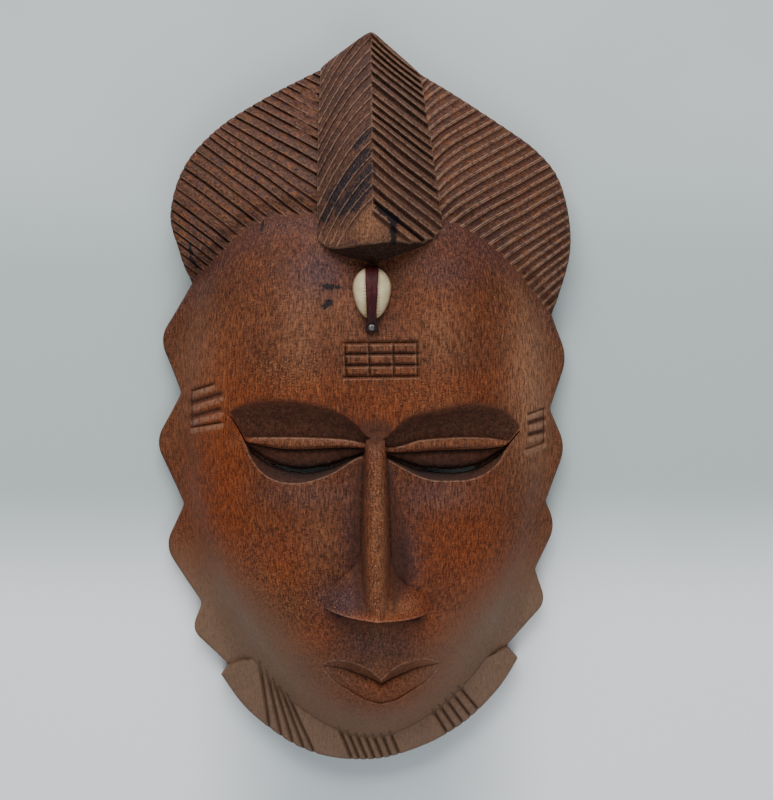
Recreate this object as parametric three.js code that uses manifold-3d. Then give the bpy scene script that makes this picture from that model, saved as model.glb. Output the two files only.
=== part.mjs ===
// A carved wooden face mask lying on its back: a convex face with half-closed eyes, a scalloped flange,
// a ribbed headdress with a roof-shaped crest, and a collar under the chin. One block of wood makes all of
// that. A cowrie shell, the leather strip over it and the nail that holds the strip are separate pieces.
// Millimetres. +X is the viewer's right, +Y is towards the top of the head, +Z is out of the face.
// The origin is the middle of the outline, on the plane of the back.
import * as THREE from "three";
import { mergeVertices } from "three/addons/utils/BufferGeometryUtils.js";
import Module from "manifold-3d";

const wasm = await Module();
wasm.setup();

// Driving sizes
const BLANK_DEPTH = 80; // taller than anything carved out of the block
const FLANGE_Z = 7; // front of the scalloped flange
const DOME_RISE = 39; // top of the face above the flange
const FACE_HALF_WIDTH = 76.5;
const EDGE_START = 0.955; // from here out the side of the face runs straight down
const FACE_WIDEST_Y = -10;
const FACE_TOP = 120; // from the widest line up to the end of the dome, under the headdress
const FACE_BOTTOM = 130; // from the widest line down to the chin
const UPPER_POWER = 2.5; // how square the egg of the face is above and below its widest line
const LOWER_POWER = 1.85;
const FILLET = 10; // how softly the dome runs out into the flange
const SOCKET_DEPTH = 6.8; // hollow between the brow and the upper lid
const SLIT_DEPTH = 9; // bottom of the cut between the lids
const SLIT_HALF = 0.95;
const SLIT_INNER = 17; // the cut goes through the wood between these distances from the nose
const SLIT_OUTER = 43;
const LID_HEIGHT = 1.9;
const NOSE_HALF_WIDTH = 6; // at its foot, without the wings
const MOUTH_HALF_WIDTH = 23.5;
const HAIR_EDGE_Z = 13; // thickness of the headdress at its outline
const HAIR_RISE = 23.5;
const COLLAR_Z = 11;
const CREST_HEIGHT_TOP = 15; // ridge above the headdress at the top of the head
const CREST_HEIGHT_END = 22; // and over the forehead
const HOLLOW_HALF_WIDTH = 64;
const HOLLOW_DEPTH = 31.5;
const GAP = 0.3; // clearance between touching pieces

// Smooth curves and steps
const clamp = (v, low, high) => Math.min(Math.max(v, low), high);
const mix = (a, b, t) => a + (b - a) * t;

function smoothStep(from, to, v) {
  const t = clamp((v - from) / (to - from), 0, 1);
  return t * t * (3 - 2 * t);
}

// The larger of two heights, with the corner between them rounded over a height of k.
function smoothMax(a, b, k) {
  const h = Math.max(k - Math.abs(a - b), 0) / k;
  return Math.max(a, b) + (h * h * k) / 4;
}

// A smooth function through [x, y] points, straight beyond the last ones.
function through(points) {
  const last = points.length - 1;
  const slopes = points.map((p, i) => {
    const before = points[Math.max(i - 1, 0)];
    const after = points[Math.min(i + 1, last)];
    return (after[1] - before[1]) / (after[0] - before[0]);
  });
  return (x) => {
    if (x <= points[0][0]) return points[0][1] + slopes[0] * (x - points[0][0]);
    if (x >= points[last][0]) return points[last][1] + slopes[last] * (x - points[last][0]);
    let i = 0;
    while (x > points[i + 1][0]) i += 1;
    const width = points[i + 1][0] - points[i][0];
    const t = (x - points[i][0]) / width;
    const rest = 1 - t;
    return (
      points[i][1] * (1 + 2 * t) * rest * rest +
      slopes[i] * width * t * rest * rest +
      points[i + 1][1] * (3 - 2 * t) * t * t -
      slopes[i + 1] * width * t * t * rest
    );
  };
}

// count numbers from first to last
function spaced(first, last, count) {
  return Array.from({ length: count }, (_, i) => mix(first, last, i / (count - 1)));
}

// Solids
function solidOf(geometry) {
  const plain = geometry.clone();
  plain.deleteAttribute("normal");
  plain.deleteAttribute("uv");
  const merged = mergeVertices(plain, 1e-4);
  const mesh = new wasm.Mesh({
    numProp: 3,
    vertProperties: merged.attributes.position.array,
    triVerts: new Uint32Array(merged.index.array),
  });
  return new wasm.Manifold(mesh);
}

function geometryOf(solid) {
  const mesh = solid.getMesh();
  const geometry = new THREE.BufferGeometry();
  geometry.setAttribute("position", new THREE.BufferAttribute(new Float32Array(mesh.vertProperties), 3));
  geometry.setIndex(new THREE.BufferAttribute(new Uint32Array(mesh.triVerts), 1));
  geometry.computeVertexNormals();
  return geometry;
}

function closedSolid(points, triangles) {
  const geometry = new THREE.BufferGeometry();
  geometry.setAttribute("position", new THREE.Float32BufferAttribute(points.flat(), 3));
  geometry.setIndex(triangles.flat());
  return solidOf(geometry);
}

// The solid under a grid of points: rows run up the face and columns to the right, down to the height floor.
function underSheet(grid, floor) {
  const rows = grid.length;
  const columns = grid[0].length;
  const top = (i, j) => i * columns + j;
  const low = (i, j) => rows * columns + i * columns + j;
  const points = [...grid.flat(), ...grid.flat().map(([x, y]) => [x, y, floor])];
  const triangles = [];
  for (let i = 0; i < rows - 1; i += 1) {
    for (let j = 0; j < columns - 1; j += 1) {
      const [a, b, c, d] = [top(i, j), top(i, j + 1), top(i + 1, j + 1), top(i + 1, j)];
      const rise = Math.abs(grid[i][j][2] - grid[i + 1][j + 1][2]);
      const otherRise = Math.abs(grid[i][j + 1][2] - grid[i + 1][j][2]);
      triangles.push(...(rise < otherRise ? [[a, b, c], [a, c, d]] : [[a, b, d], [b, c, d]]));
      const under = [low(i, j), low(i, j + 1), low(i + 1, j + 1), low(i + 1, j)];
      triangles.push([under[0], under[2], under[1]], [under[0], under[3], under[2]]);
    }
  }
  const wall = (a, b, c, d) => triangles.push([a, b, c], [a, c, d]);
  for (let j = 0; j < columns - 1; j += 1) {
    wall(low(0, j), low(0, j + 1), top(0, j + 1), top(0, j));
    wall(low(rows - 1, j + 1), low(rows - 1, j), top(rows - 1, j), top(rows - 1, j + 1));
  }
  for (let i = 0; i < rows - 1; i += 1) {
    wall(low(i + 1, 0), low(i, 0), top(i, 0), top(i + 1, 0));
    wall(low(i, columns - 1), low(i + 1, columns - 1), top(i + 1, columns - 1), top(i, columns - 1));
  }
  return closedSolid(points, triangles);
}

// A straight-sided solid between two outlines with the same number of points, both running anticlockwise.
function between(low, lowZ, high, highZ) {
  const n = low.length;
  const points = [...low.map(([x, y]) => [x, y, lowZ]), ...high.map(([x, y]) => [x, y, highZ])];
  const caps = THREE.ShapeUtils.triangulateShape(low.map(([x, y]) => new THREE.Vector2(x, y)), []);
  const triangles = [];
  for (const [a, b, c] of caps) triangles.push([a, c, b], [a + n, b + n, c + n]);
  for (let i = 0; i < n; i += 1) {
    const next = (i + 1) % n;
    triangles.push([i, next, next + n], [i, next + n, i + n]);
  }
  return closedSolid(points, triangles);
}

const prism = (outline, lowZ, highZ) => between(outline, lowZ, outline, highZ);

// A tube of triangular section along path: its corners are half to each side, above the surface, and its
// edge is depth under the surface. It cuts a V groove.
function veeCutter(path, half, depth, surface) {
  const rise = 1.5;
  const wide = half * (1 + rise / depth);
  const points = [];
  path.forEach(([x, y], i) => {
    const before = path[Math.max(i - 1, 0)];
    const after = path[Math.min(i + 1, path.length - 1)];
    const length = Math.hypot(after[0] - before[0], after[1] - before[1]);
    const side = [-(after[1] - before[1]) / length, (after[0] - before[0]) / length];
    const z = surface(x, y);
    points.push([x, y, z - depth]);
    points.push([x - side[0] * wide, y - side[1] * wide, z + rise]);
    points.push([x + side[0] * wide, y + side[1] * wide, z + rise]);
  });
  const triangles = [[0, 1, 2]];
  for (let i = 0; i < path.length - 1; i += 1) {
    const a = i * 3;
    for (let k = 0; k < 3; k += 1) {
      const m = (k + 1) % 3;
      triangles.push([a + k, a + 3 + m, a + m], [a + k, a + 3 + k, a + 3 + m]);
    }
  }
  const end = (path.length - 1) * 3;
  triangles.push([end, end + 2, end + 1]);
  return closedSolid(points, triangles);
}

// Outline of the whole block, seen from the front
const CREST_TOP = [
  [23.7, 138.2], [16.6, 144.2], [9.6, 149.3], [3.2, 152.6], [-4.4, 149], [-13, 143.8], [-17.5, 140.1],
];
const HAIR_LEFT = [
  [-17.5, 140.1], [-41.6, 127.4], [-61.7, 114.8], [-75.4, 99.7], [-81.2, 80], [-77.3, 64.4], [-72.4, 50.8],
];
const SCALLOPS_LEFT = [
  [-86.9, 27.8], [-76.9, 4.5], [-88.7, -16], [-75.9, -42.5], [-84.7, -60.8], [-68.7, -84.8], [-73.1, -96.3],
];
const COLLAR_START = [-57.2, -111.2]; // the collar's left end meets the flange here
const COLLAR_EDGE = [
  [-60.5, -115.2], [-47.6, -131.6], [-24.6, -146.8], [0.8, -150.8], [21.2, -146.4], [41.1, -136.4],
  [57, -121.4], [65.6, -108.2],
];
const COLLAR_STOP = [60.7, -103.4];
const SCALLOPS_RIGHT = [
  [77.8, -84.4], [73, -70.4], [82.2, -51.8], [77.3, -41.5], [86.4, -18.3], [79, -2.4], [87, 19.6],
];
const HAIR_RIGHT = [
  [80, 37.6], [86.3, 57.8], [87.7, 70.4], [85.8, 84.6], [81.1, 97.3], [71.4, 107.4], [57, 116.9],
  [23.7, 138.2],
];
const TIP_ROUNDING = [7, 1.5, 7, 1.5, 7, 1.5, 5]; // tips are blunt and the valleys between them are crisp

function spline(points, divisions) {
  const curve = new THREE.SplineCurve(points.map(([x, y]) => new THREE.Vector2(x, y)));
  return curve.getPoints(divisions).map((p) => [p.x, p.y]);
}

// The corners of a zigzag, each rounded by a short curve that starts cut millimetres before the corner.
function rounded(before, corners, after, cuts) {
  const all = [before, ...corners, after];
  return corners.flatMap((corner, i) => {
    const at = new THREE.Vector2(...corner);
    const start = new THREE.Vector2(...all[i]).sub(at).setLength(cuts[i]).add(at);
    const end = new THREE.Vector2(...all[i + 2]).sub(at).setLength(cuts[i]).add(at);
    const steps = cuts[i] > 3 ? 4 : 1;
    return new THREE.QuadraticBezierCurve(start, at, end).getPoints(steps).map((p) => [p.x, p.y]);
  });
}

function maskOutline() {
  return [
    ...spline(HAIR_LEFT, 16),
    ...rounded(HAIR_LEFT.at(-1), SCALLOPS_LEFT, COLLAR_START, TIP_ROUNDING),
    COLLAR_START,
    ...spline(COLLAR_EDGE, 16),
    COLLAR_STOP,
    ...rounded(COLLAR_STOP, SCALLOPS_RIGHT, HAIR_RIGHT[0], [...TIP_ROUNDING].reverse()),
    ...spline(HAIR_RIGHT, 16),
    ...spline(CREST_TOP, 8).slice(1, -1),
  ];
}

// The face
// Middle line of the nose and the mouth
const featureX = through([[-150, 8], [-112, 7.8], [-85, 6.3], [-60, 5.6], [-14, 5.5]]);
const noseHalf = through([
  [-150, NOSE_HALF_WIDTH], [-84, NOSE_HALF_WIDTH], [-60, 5.7], [-40, 5.3], [-25, 4.7], [-14, 3.7],
]);
const eggX = (y) => 1 + 2 * smoothStep(-40, -140, y);

// How far out a point is on the egg of the face: 0 at its middle and 1 at its edge.
function eggRadius(x, y) {
  const up = y > FACE_WIDEST_Y;
  const power = up ? UPPER_POWER : LOWER_POWER;
  const across = Math.abs(x - eggX(y)) / FACE_HALF_WIDTH;
  const along = Math.abs(y - FACE_WIDEST_Y) / (up ? FACE_TOP : FACE_BOTTOM);
  return (across ** power + along ** power) ** (1 / power);
}

function eggHalfWidth(y) {
  const up = y > FACE_WIDEST_Y;
  const power = up ? UPPER_POWER : LOWER_POWER;
  const along = Math.abs(y - FACE_WIDEST_Y) / (up ? FACE_TOP : FACE_BOTTOM);
  return FACE_HALF_WIDTH * Math.max(1 - along ** power, 0) ** (1 / power);
}

function domeZ(x, y) {
  const profile = (r) => DOME_RISE * (1 - r ** 2.3) ** 0.58;
  const radius = eggRadius(x, y);
  const slope = (profile(EDGE_START) - profile(EDGE_START - 0.01)) / 0.01;
  const rise = radius < EDGE_START ? profile(radius) : profile(EDGE_START) + slope * (radius - EDGE_START);
  const fillet = FILLET * smoothStep(-150, -100, y); // the jaw meets the collar in a crisp line
  return FLANGE_Z + smoothMax(rise, 0, 1 + fillet);
}

// Curves that run across one side of the face, as heights y over the distance s out from the nose
const LEFT_EYE = {
  brow: through([
    [0, -15.6], [3, -13.2], [8, -7.8], [12, -4.8], [17.5, -2.2], [27, 0.3], [34, 1.4], [47, 1.1], [52, 0.1],
    [55.5, -1.2], [59.5, -3.6],
  ]),
  lidTop: through([[0, -17], [6, -15.6], [14, -14.5], [30, -13.9], [52, -14]]),
  lidLow: through([[0, -18.4], [12, -17.5], [30, -18.1], [38, -18], [46, -16.8], [52, -15.8]]),
  slit: through([
    [0, -19.2], [5, -20.2], [12, -22.8], [17, -25], [27.5, -27.3], [35.6, -26.6], [43, -24], [50, -19],
  ]),
  rim: through([
    [0, -20], [3, -20.6], [8, -22.2], [16.5, -27.5], [25.8, -31], [33, -31.9], [40, -30.8], [45.7, -27.5],
    [50.2, -21.7], [53.1, -14.5], [58, -6.4], [59.5, -5.2],
  ]),
};
const RIGHT_EYE = {
  brow: through([
    [0, -15.6], [3, -14], [6, -11.6], [11, -6.8], [15, -4.6], [23, -2.8], [29, -1.6], [36, -0.3], [45, -0.7],
    [52, -2.6], [56, -5.6], [59.5, -10],
  ]),
  lidTop: through([
    [0, -17], [6, -17.8], [11, -17], [17, -15.1], [23, -14.5], [32, -14], [44, -14.2], [55, -15.7],
  ]),
  lidLow: through([[0, -18.4], [6, -19.6], [14, -19.4], [23, -18.6], [45, -18.2], [52, -17.5], [55, -16.5]]),
  slit: through([
    [0, -19.2], [5, -21], [11, -23.6], [17, -26], [23.3, -27], [29.5, -27.4], [34, -27.2], [38.7, -26.4],
    [42.7, -25.2], [50, -20.5],
  ]),
  rim: through([
    [0, -20], [3, -21.2], [7.6, -23.9], [16.4, -28.6], [23, -30.7], [32, -31], [38, -30.6], [45.2, -27.8],
    [50.5, -23.1], [53.1, -18.4], [58, -12.5], [59.5, -11.6],
  ]),
};
const eyeStrength = through([
  [0, 0.5], [6, 0.6], [14, 0.9], [25, 1], [38, 1], [48, 0.8], [55, 0.4], [59.5, 0],
]);
const EYE_END = 59.5;
// The lower edge of the nose, as the height y over the distance s out from its middle; the left end is higher
const leftBase = through([[0, -84.3], [10, -83.5], [20.5, -81.7], [26, -80.5]]);
const rightBase = through([[0, -84.3], [10, -84.7], [19.4, -84.3], [26, -83.6]]);
const noseHeight = through([[-85, 19.5], [-60, 13], [-30, 6.3], [-20, 3.2], [-14, 0]]);
const NOSE_TOP = -14;
const WING_START = -54; // the sides of the nose flare from here down to its base
const WING_HEIGHT = 15;
const WING_EDGE = 5.5;
const WING_END = 20.8;
// Half the width of the nose with its wings, against y; the right one flares out later
const leftWing = through([
  [-85, 21.2], [-79, 20.8], [-74, 18.4], [-71, 15.4], [-68, 11.9], [-65, 8.9], [-60, 6.6], [-54, 5.5],
]);
const rightWing = through([
  [-85, 20.2], [-82, 19.6], [-78, 19], [-76, 18.2], [-74, 14.6], [-71, 10.2], [-67, 7.6], [-60, 6.3],
  [-54, 5.5],
]);
const mouthTop = through([
  [0, -113], [1.5, -111.3], [4.9, -108.2], [10, -105.7], [14.5, -104.5], [19, -104.5], [23.5, -106.2],
]);
const mouthGroove = through([
  [0, -115.1], [3, -113.2], [6.2, -111.6], [10.4, -109.9], [14.5, -108.2], [23.5, -106.5],
]);
const mouthLow = through([
  [0, -123.4], [6, -121.7], [10.2, -119.3], [14.5, -116.4], [18.6, -113.8], [23.5, -108],
]);

const eyeAt = (x) => (x > featureX(-20) ? RIGHT_EYE : LEFT_EYE);
const noseBase = (s, right) => (right ? rightBase(s) : leftBase(s));

// Rows of an eye from the brow down, as [y, height off the dome] at a distance s from the nose
function eyeRows(s, eye) {
  const strength = s < EYE_END ? Math.max(eyeStrength(s), 0) : 0;
  const socket = -SOCKET_DEPTH * strength;
  const slitZ = -SLIT_DEPTH * strength;
  const lid = LID_HEIGHT * Math.min(1, strength * 1.5);
  const edge = Math.min(s, EYE_END);
  const low = eye.rim(edge);
  const top = Math.max(eye.brow(edge), low + 1.6);
  const lidTop = clamp(eye.lidTop(edge), low + 1.1, top - 0.4);
  const lidLow = clamp(eye.lidLow(edge), low + 0.8, lidTop - 0.2);
  const slit = clamp(eye.slit(edge), low + 0.4, lidLow - 0.3);
  const half = Math.min(SLIT_HALF, (lidLow - slit) / 3, (slit - low) / 3);
  const floor = Math.min(lidTop + 0.5, mix(lidTop, top, 0.3));
  return [
    [top, 0],
    [mix(top, floor, 0.2), socket * 0.4],
    [mix(top, floor, 0.6), socket * 0.82],
    [floor, socket],
    [lidTop, socket + lid],
    [mix(lidTop, lidLow, 0.5), socket + lid * 1.25],
    [lidLow, socket + lid * 0.6],
    [mix(lidLow, slit + half, 0.12), socket - 0.5 * strength],
    [mix(lidLow, slit + half, 0.6), socket - 0.8 * strength],
    [slit + half, slitZ],
    [slit - half, slitZ],
    [mix(slit - half, low, 0.6), slitZ * 0.42],
    [low, 0],
  ];
}

function mouthRows(s) {
  const strength = Math.max(1 - (s / MOUTH_HALF_WIDTH) ** 3, 0);
  const at = Math.min(s, MOUTH_HALF_WIDTH);
  const [top, groove, low] = [mouthTop(at), mouthGroove(at), mouthLow(at)];
  return [
    [top, 0],
    [groove, -2.8 * strength],
    [mix(groove, low, 0.35), -0.3 * strength],
    [low, -1.2 * strength],
    [low - 0.7, 0],
  ];
}

// Height at y in a list of rows, 0 above and below them
function alongRows(rows, y) {
  for (let i = 0; i < rows.length - 1; i += 1) {
    const [[high, a], [low, b]] = [rows[i], rows[i + 1]];
    if (y <= high && y >= low) return high - low < 1e-9 ? a : mix(a, b, (high - y) / (high - low));
  }
  return 0;
}

// Half the width of the nose at y with its flaring side
function wingWidth(y, right) {
  return Math.max(noseHalf(y), right ? rightWing(y) : leftWing(y));
}

function noseZ(s, y, right) {
  const foot = noseBase(s, right);
  if (y < foot - 0.05 || y > NOSE_TOP) return -BLANK_DEPTH;
  const half = noseHalf(y);
  const width = wingWidth(y, right);
  if (s > width - 0.05) return -BLANK_DEPTH;
  const flare = clamp((WING_START - y) / (WING_START - foot), 0, 1);
  const tube = noseHeight(y) * Math.max(1 - (s / half) ** 2.6, 0) ** 0.7;
  const out = Math.min(s / width, 1);
  const skirt = WING_HEIGHT * flare ** 1.3 * (1 - out) ** 0.7 + WING_EDGE * flare ** 4 * (1 - out ** 6);
  return Math.max(tube, skirt);
}

function faceZ(x, y) {
  const s = Math.abs(x - featureX(y));
  const dome = domeZ(x, y);
  const eye = alongRows(eyeRows(s, eyeAt(x)), y);
  return dome + Math.max(eye, noseZ(s, y, x > featureX(y))) + alongRows(mouthRows(s), y);
}

// Rows of the face's grid, each a function of the distance s out from the nose and the place x
function faceRows() {
  const plain = (y) => () => y;
  const rows = [100, 78, 64, 49, 34.4, 19.6].map(plain);
  const spread = (s, i) => mix(0, 9 - i * 5, smoothStep(EYE_END, 76, s)); // the rows part again past the eye
  rows.push((s, x) => mix(10, eyeRows(s, eyeAt(x))[0][0] + 3, 0.6));
  eyeRows(0, LEFT_EYE).forEach((_, i) => {
    rows.push((s, x) => eyeRows(s, eyeAt(x))[i][0] + spread(s, i * 0.6));
  });
  const base = (s, x) => noseBase(s, x > featureX(-84));
  const below = (t) => (s, x) => mix(eyeRows(s, eyeAt(x))[12][0] + spread(s, 7.2), base(s, x), t);
  rows.push(below(0.15), below(0.38), below(0.56), below(0.7), below(0.81), below(0.9), below(0.96));
  rows.push(base, (s, x) => base(s, x) - 0.7);
  const upperLip = (t) => (s, x) => mix(base(s, x) - 0.7, mouthRows(s)[0][0], t);
  rows.push(upperLip(0.35), upperLip(0.75));
  mouthRows(0).forEach((_, i) => rows.push((s) => mouthRows(s)[i][0]));
  const chin = (t) => (s) => mix(mouthRows(s)[4][0], -136, t);
  rows.push(chin(0.35), chin(0.7), plain(-136), plain(-139), plain(-141), plain(-143), plain(-153));
  return rows.reverse();
}

// Offsets of the grid's columns from the nose line; the outer ones follow the egg down to the chin
const NOSE_COLUMN = 7.3; // this one is always the foot of the nose
const HALF_COLUMNS = [
  3.8, 6.2, NOSE_COLUMN, 10.5, 15, 19.2, 20.8, 27, 33, 39, 44.5, 49, 53.5, 58.5, 65, 70.5, 76, 94,
];
const STRAIGHT_COLUMNS = 24;

function columnX(offset, y) {
  const size = Math.abs(offset);
  const half = noseHalf(y);
  if (size <= NOSE_COLUMN) return featureX(y) + (offset * half) / NOSE_COLUMN;
  if (size <= WING_END) {
    const wing = (wingWidth(y, offset > 0) - half) / (WING_END - half);
    const straight = Math.max(smoothStep(-64, -30, y), y < noseBase(size, offset > 0) ? 1 : 0);
    return featureX(y) + Math.sign(offset) * mix(half, size, Math.max(mix(wing, 1, straight), 0.25));
  }
  const edge = Math.max(eggHalfWidth(clamp(y, -128, 20)), 34);
  const t = clamp((size - STRAIGHT_COLUMNS) / (FACE_HALF_WIDTH - STRAIGHT_COLUMNS), 0, 1);
  const curved = mix(STRAIGHT_COLUMNS, edge, t) + Math.max(size - FACE_HALF_WIDTH, 0);
  const out = size < STRAIGHT_COLUMNS ? size : curved;
  return mix(featureX(y), eggX(y), t) + Math.sign(offset) * out;
}

function faceSolid() {
  const offsets = [...HALF_COLUMNS.map((c) => -c).reverse(), 0, ...HALF_COLUMNS];
  const grid = faceRows().map((row) =>
    offsets.map((offset) => {
      let [x, y] = [0, row(Math.abs(offset), featureX(0) + offset)];
      // Where a row and a column cross is found step by step, as each depends on the other
      for (let step = 0; step < 8; step += 1) {
        x = columnX(offset, y);
        y = row(Math.abs(x - featureX(y)), x);
      }
      return [x, y, faceZ(x, y)];
    }),
  );
  return underSheet(grid, -1);
}

// Two slots through the wood, along the lower part of each eye
function slitCutter(side) {
  const eye = side > 0 ? RIGHT_EYE : LEFT_EYE;
  const line = spaced(SLIT_INNER, SLIT_OUTER, 9).map((s) => [featureX(-28) + side * s, eye.slit(s)]);
  const upper = line.map(([x, y]) => [x, y + SLIT_HALF - 0.1]);
  const lower = line.map(([x, y]) => [x, y - SLIT_HALF + 0.1]);
  const loop = side > 0 ? [...lower, ...upper.reverse()] : [...upper, ...lower.reverse()];
  return prism(loop, -1, BLANK_DEPTH);
}

// The headdress: two ribbed lobes and the crest between them
function hairZ(x, y) {
  const q = ((x - 2) / 84) ** 2 + ((y - 70) / 76) ** 2;
  return HAIR_EDGE_Z + HAIR_RISE * (1 - Math.min(q, 1.05));
}

const HAIRLINE = [
  [-73, 50.3], [-62.2, 58], [-54, 65.6], [-45.9, 71.7], [-35.7, 75.2], [-25.4, 76.2], [-12, 75], [4, 72],
  [22, 74], [33.1, 73.8], [40, 71.9], [48.2, 67.8], [56.5, 61.3], [64.7, 53.9], [72.9, 44.9], [80.4, 36.6],
];

// Each family of grooves is a line y(k, x) for groove number k, counted downwards, and how far it goes.
const leftLevel = through([[-10, 142.5], [-5, 122.2], [0, 98.4], [1, 94.3], [5, 73.5], [9, 52], [14, 33.3]]);
const leftLean = through([[-10, -0.6], [-5, -0.61], [-2, -0.65], [0, -0.73], [1, -0.77], [14, -0.76]]);
const LEFT_HAIR = {
  line: (k, x) => leftLevel(k) + leftLean(k) * (x + 42),
  from: -14,
  to: 14,
  rows: [[0, -1.4], [0.3, 0]],
  columns: [-90, -72, -54, -38, -23, -12],
};
const crestRightX = through([[57, 34.6], [66, 33.5], [138.2, 23.9], [152, 22.2]]);
const crestLeftX = through([[57, -17.6], [66, -17.8], [102, -17.9], [140.1, -17.5], [152, -17.4]]);
const ridgeX = (y) => 4.9 - 0.012 * (y - 57);
const RIGHT_HAIR = {
  line: (k, x) => {
    // The grooves bend down beside the crest, the lower ones more
    const curl = mix(1.5, 6, smoothStep(-4, 5, k)) * Math.exp(-Math.max(x - 28, -3) / 4.2);
    const fan = 0.03 * Math.max(k - 13, 0) * (x - 60); // and the lowest ones spread out
    return 118.9 + 0.62 * (x - 48.2) - 4.62 * k - curl + fan;
  },
  from: -10,
  to: 23,
  rows: [[0, 0], [0.5, -1.3]],
  columns: [19, 27, 31, 38, 50, 68, 92],
};

function ribbedLobe(family) {
  const rows = [];
  for (let k = family.to; k >= family.from; k -= 1) {
    for (const [part, height] of [...family.rows].reverse()) {
      rows.push(
        family.columns.map((x) => {
          const y = family.line(k + part, x);
          return [x, y, hairZ(x, y) + height];
        }),
      );
    }
  }
  return underSheet(rows, -1);
}

// Height of the crest's ridge and of its two lower edges
const ridgeZ = (y) => hairZ(2, y) + mix(CREST_HEIGHT_END, CREST_HEIGHT_TOP, smoothStep(60, 150, y));
const crestLeftZ = (y) => hairZ(crestLeftX(y), y) + 2.6;
const crestRightZ = (y) => hairZ(crestRightX(y), y) + 0.6;

// One slope of the crest from its edge (t = 0) to its ridge (t = 1) and a little past it, with grooves that
// run down from the ridge by drop. The grooves are cut below the lips, which start on the ridge at starts.
// Each is deepest at that part of the way to the next lip.
function crestSlope({ edgeX, edgeZ, drop, starts, part, depth }) {
  const lowest = starts.at(-1);
  const levels = [[lowest - 60, 0], [lowest, 0]];
  for (let k = starts.length - 2; k >= 0; k -= 1) {
    levels.push([mix(starts[k], starts[k + 1], part), -depth], [starts[k], 0]);
  }
  const rows = levels.map(([start, height]) => {
    const row = [-0.05, 0.5, 1, 1.04].map((t) => {
      const y = start - drop(1 - t, start);
      const x = mix(edgeX(y), ridgeX(y), t);
      const past = Math.max(t - 1, 0);
      return [x, y, mix(edgeZ(y), ridgeZ(y), t - 2 * past) + height - past * 30];
    });
    return edgeX(60) < ridgeX(60) ? row : row.reverse();
  });
  return underSheet(rows, -1);
}

// Everything above the crest's steep lower end, which bulges like a prow
function crestZone() {
  const endLine = (middle, left, right, power, bulge) =>
    spaced(-1, 1, 11).map((u) => {
      const out = Math.abs(u);
      const y = mix(middle, u < 0 ? left : right, out ** power) + bulge * Math.sin(Math.PI * out);
      return [u < 0 ? mix(ridgeX(y), crestLeftX(y), -u) : mix(ridgeX(y), crestRightX(y), u), y];
    });
  const above = [[crestRightX(150), 160], [crestLeftX(150), 160]];
  const low = [...endLine(41.3, 63.5, 65, 3, 0), ...above];
  const high = [...endLine(69.5, 68.5, 79.6, 1, 4.3), ...above];
  return between(low, -1, high, BLANK_DEPTH);
}

// Where the lips of the crest's slopes start on the ridge
const LEFT_LIPS = [
  186, 179.5, 173, 167, 161.6, 156, 150.5, 144.8, 139.2, 133.6, 128.1, 122.6, 116, 109.5, 102.9, 96.6, 90,
  84.7, 79.5, 74.5,
];
const RIGHT_LIPS = [
  170, 152, 149, 145.7, 142.3, 138.7, 134.8, 130.2, 124.6, 120.6, 116.7, 113, 109.4, 104.2, 100, 95.2, 90.2,
  85.2, 80.1, 75, 69.8,
];

function headdress(outline) {
  const hairline = spline(HAIRLINE, 20);
  const zone = [[-100, hairline[0][1]], ...hairline, [100, hairline.at(-1)[1]], [100, 170], [-100, 170]];
  const lobes = ribbedLobe(LEFT_HAIR).add(ribbedLobe(RIGHT_HAIR)).intersect(prism(zone, -2, BLANK_DEPTH));
  const left = crestSlope({
    edgeX: crestLeftX,
    edgeZ: crestLeftZ,
    drop: (d) => 17 * d + 14 * d * d,
    starts: LEFT_LIPS,
    part: 0.15,
    depth: 0.6,
  });
  const right = crestSlope({
    edgeX: crestRightX,
    edgeZ: crestRightZ,
    drop: (d, start) => d * mix(20, 15, smoothStep(75, 140, start)),
    starts: RIGHT_LIPS,
    part: 0.35,
    depth: 1.7,
  });
  const crest = left.add(right).intersect(crestZone());
  return lobes.add(crest).intersect(prism(outline, 0, BLANK_DEPTH));
}

// The collar under the chin
const COLLAR_RADII = [[0.86, COLLAR_Z], [0.99, COLLAR_Z + 0.6], [1.06, COLLAR_Z], [1.2, COLLAR_Z - 3.5]];

function collarPoint(angle, radius) {
  const power = 2 / LOWER_POWER;
  const c = Math.cos(angle);
  const x = eggX(-120) + radius * FACE_HALF_WIDTH * Math.sign(c) * Math.abs(c) ** power;
  return [x, FACE_WIDEST_Y - radius * FACE_BOTTOM * Math.abs(Math.sin(angle)) ** power];
}

function collarSolid(outline) {
  const angles = spaced(0.6, Math.PI - 0.6, 20);
  const grid = COLLAR_RADII.map(([radius, z]) => angles.map((a) => [...collarPoint(a, radius), z])).reverse();
  const zone = [
    [-100, -170], [100, -170], [100, -98], COLLAR_STOP, [50, -108], [0, -104], [-45, -107], COLLAR_START,
    [-100, -113],
  ];
  const sheet = underSheet(grid.map((row) => [...row].reverse()), -1);
  return sheet.intersect(prism(zone, -2, BLANK_DEPTH)).intersect(prism(outline, 0, BLANK_DEPTH));
}

// Grooves of the collar: each group is [x of the first at the jaw, spacing, count, first lean, last lean]
const COLLAR_GROUPS = [
  [-43.4, 2.9, 5, 0.13, 0.44], [-9.8, 3.55, 7, 0.4, 0.4], [29.7, 2.75, 5, 0.6, 0.8],
];

function collarGrooves() {
  return COLLAR_GROUPS.flatMap(([start, pitch, count, firstLean, lastLean]) =>
    Array.from({ length: count }, (_, i) => {
      const x = start + i * pitch;
      const lean = mix(firstLean, lastLean, i / (count - 1));
      const across = Math.abs((x - 3) / FACE_HALF_WIDTH);
      const jaw = FACE_WIDEST_Y - FACE_BOTTOM * (1 - across ** LOWER_POWER) ** (1 / LOWER_POWER);
      const path = [3, -26].map((fall) => [x - lean * fall, jaw + fall]);
      return veeCutter(path, 1, 1.1, () => COLLAR_Z);
    }),
  );
}

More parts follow.
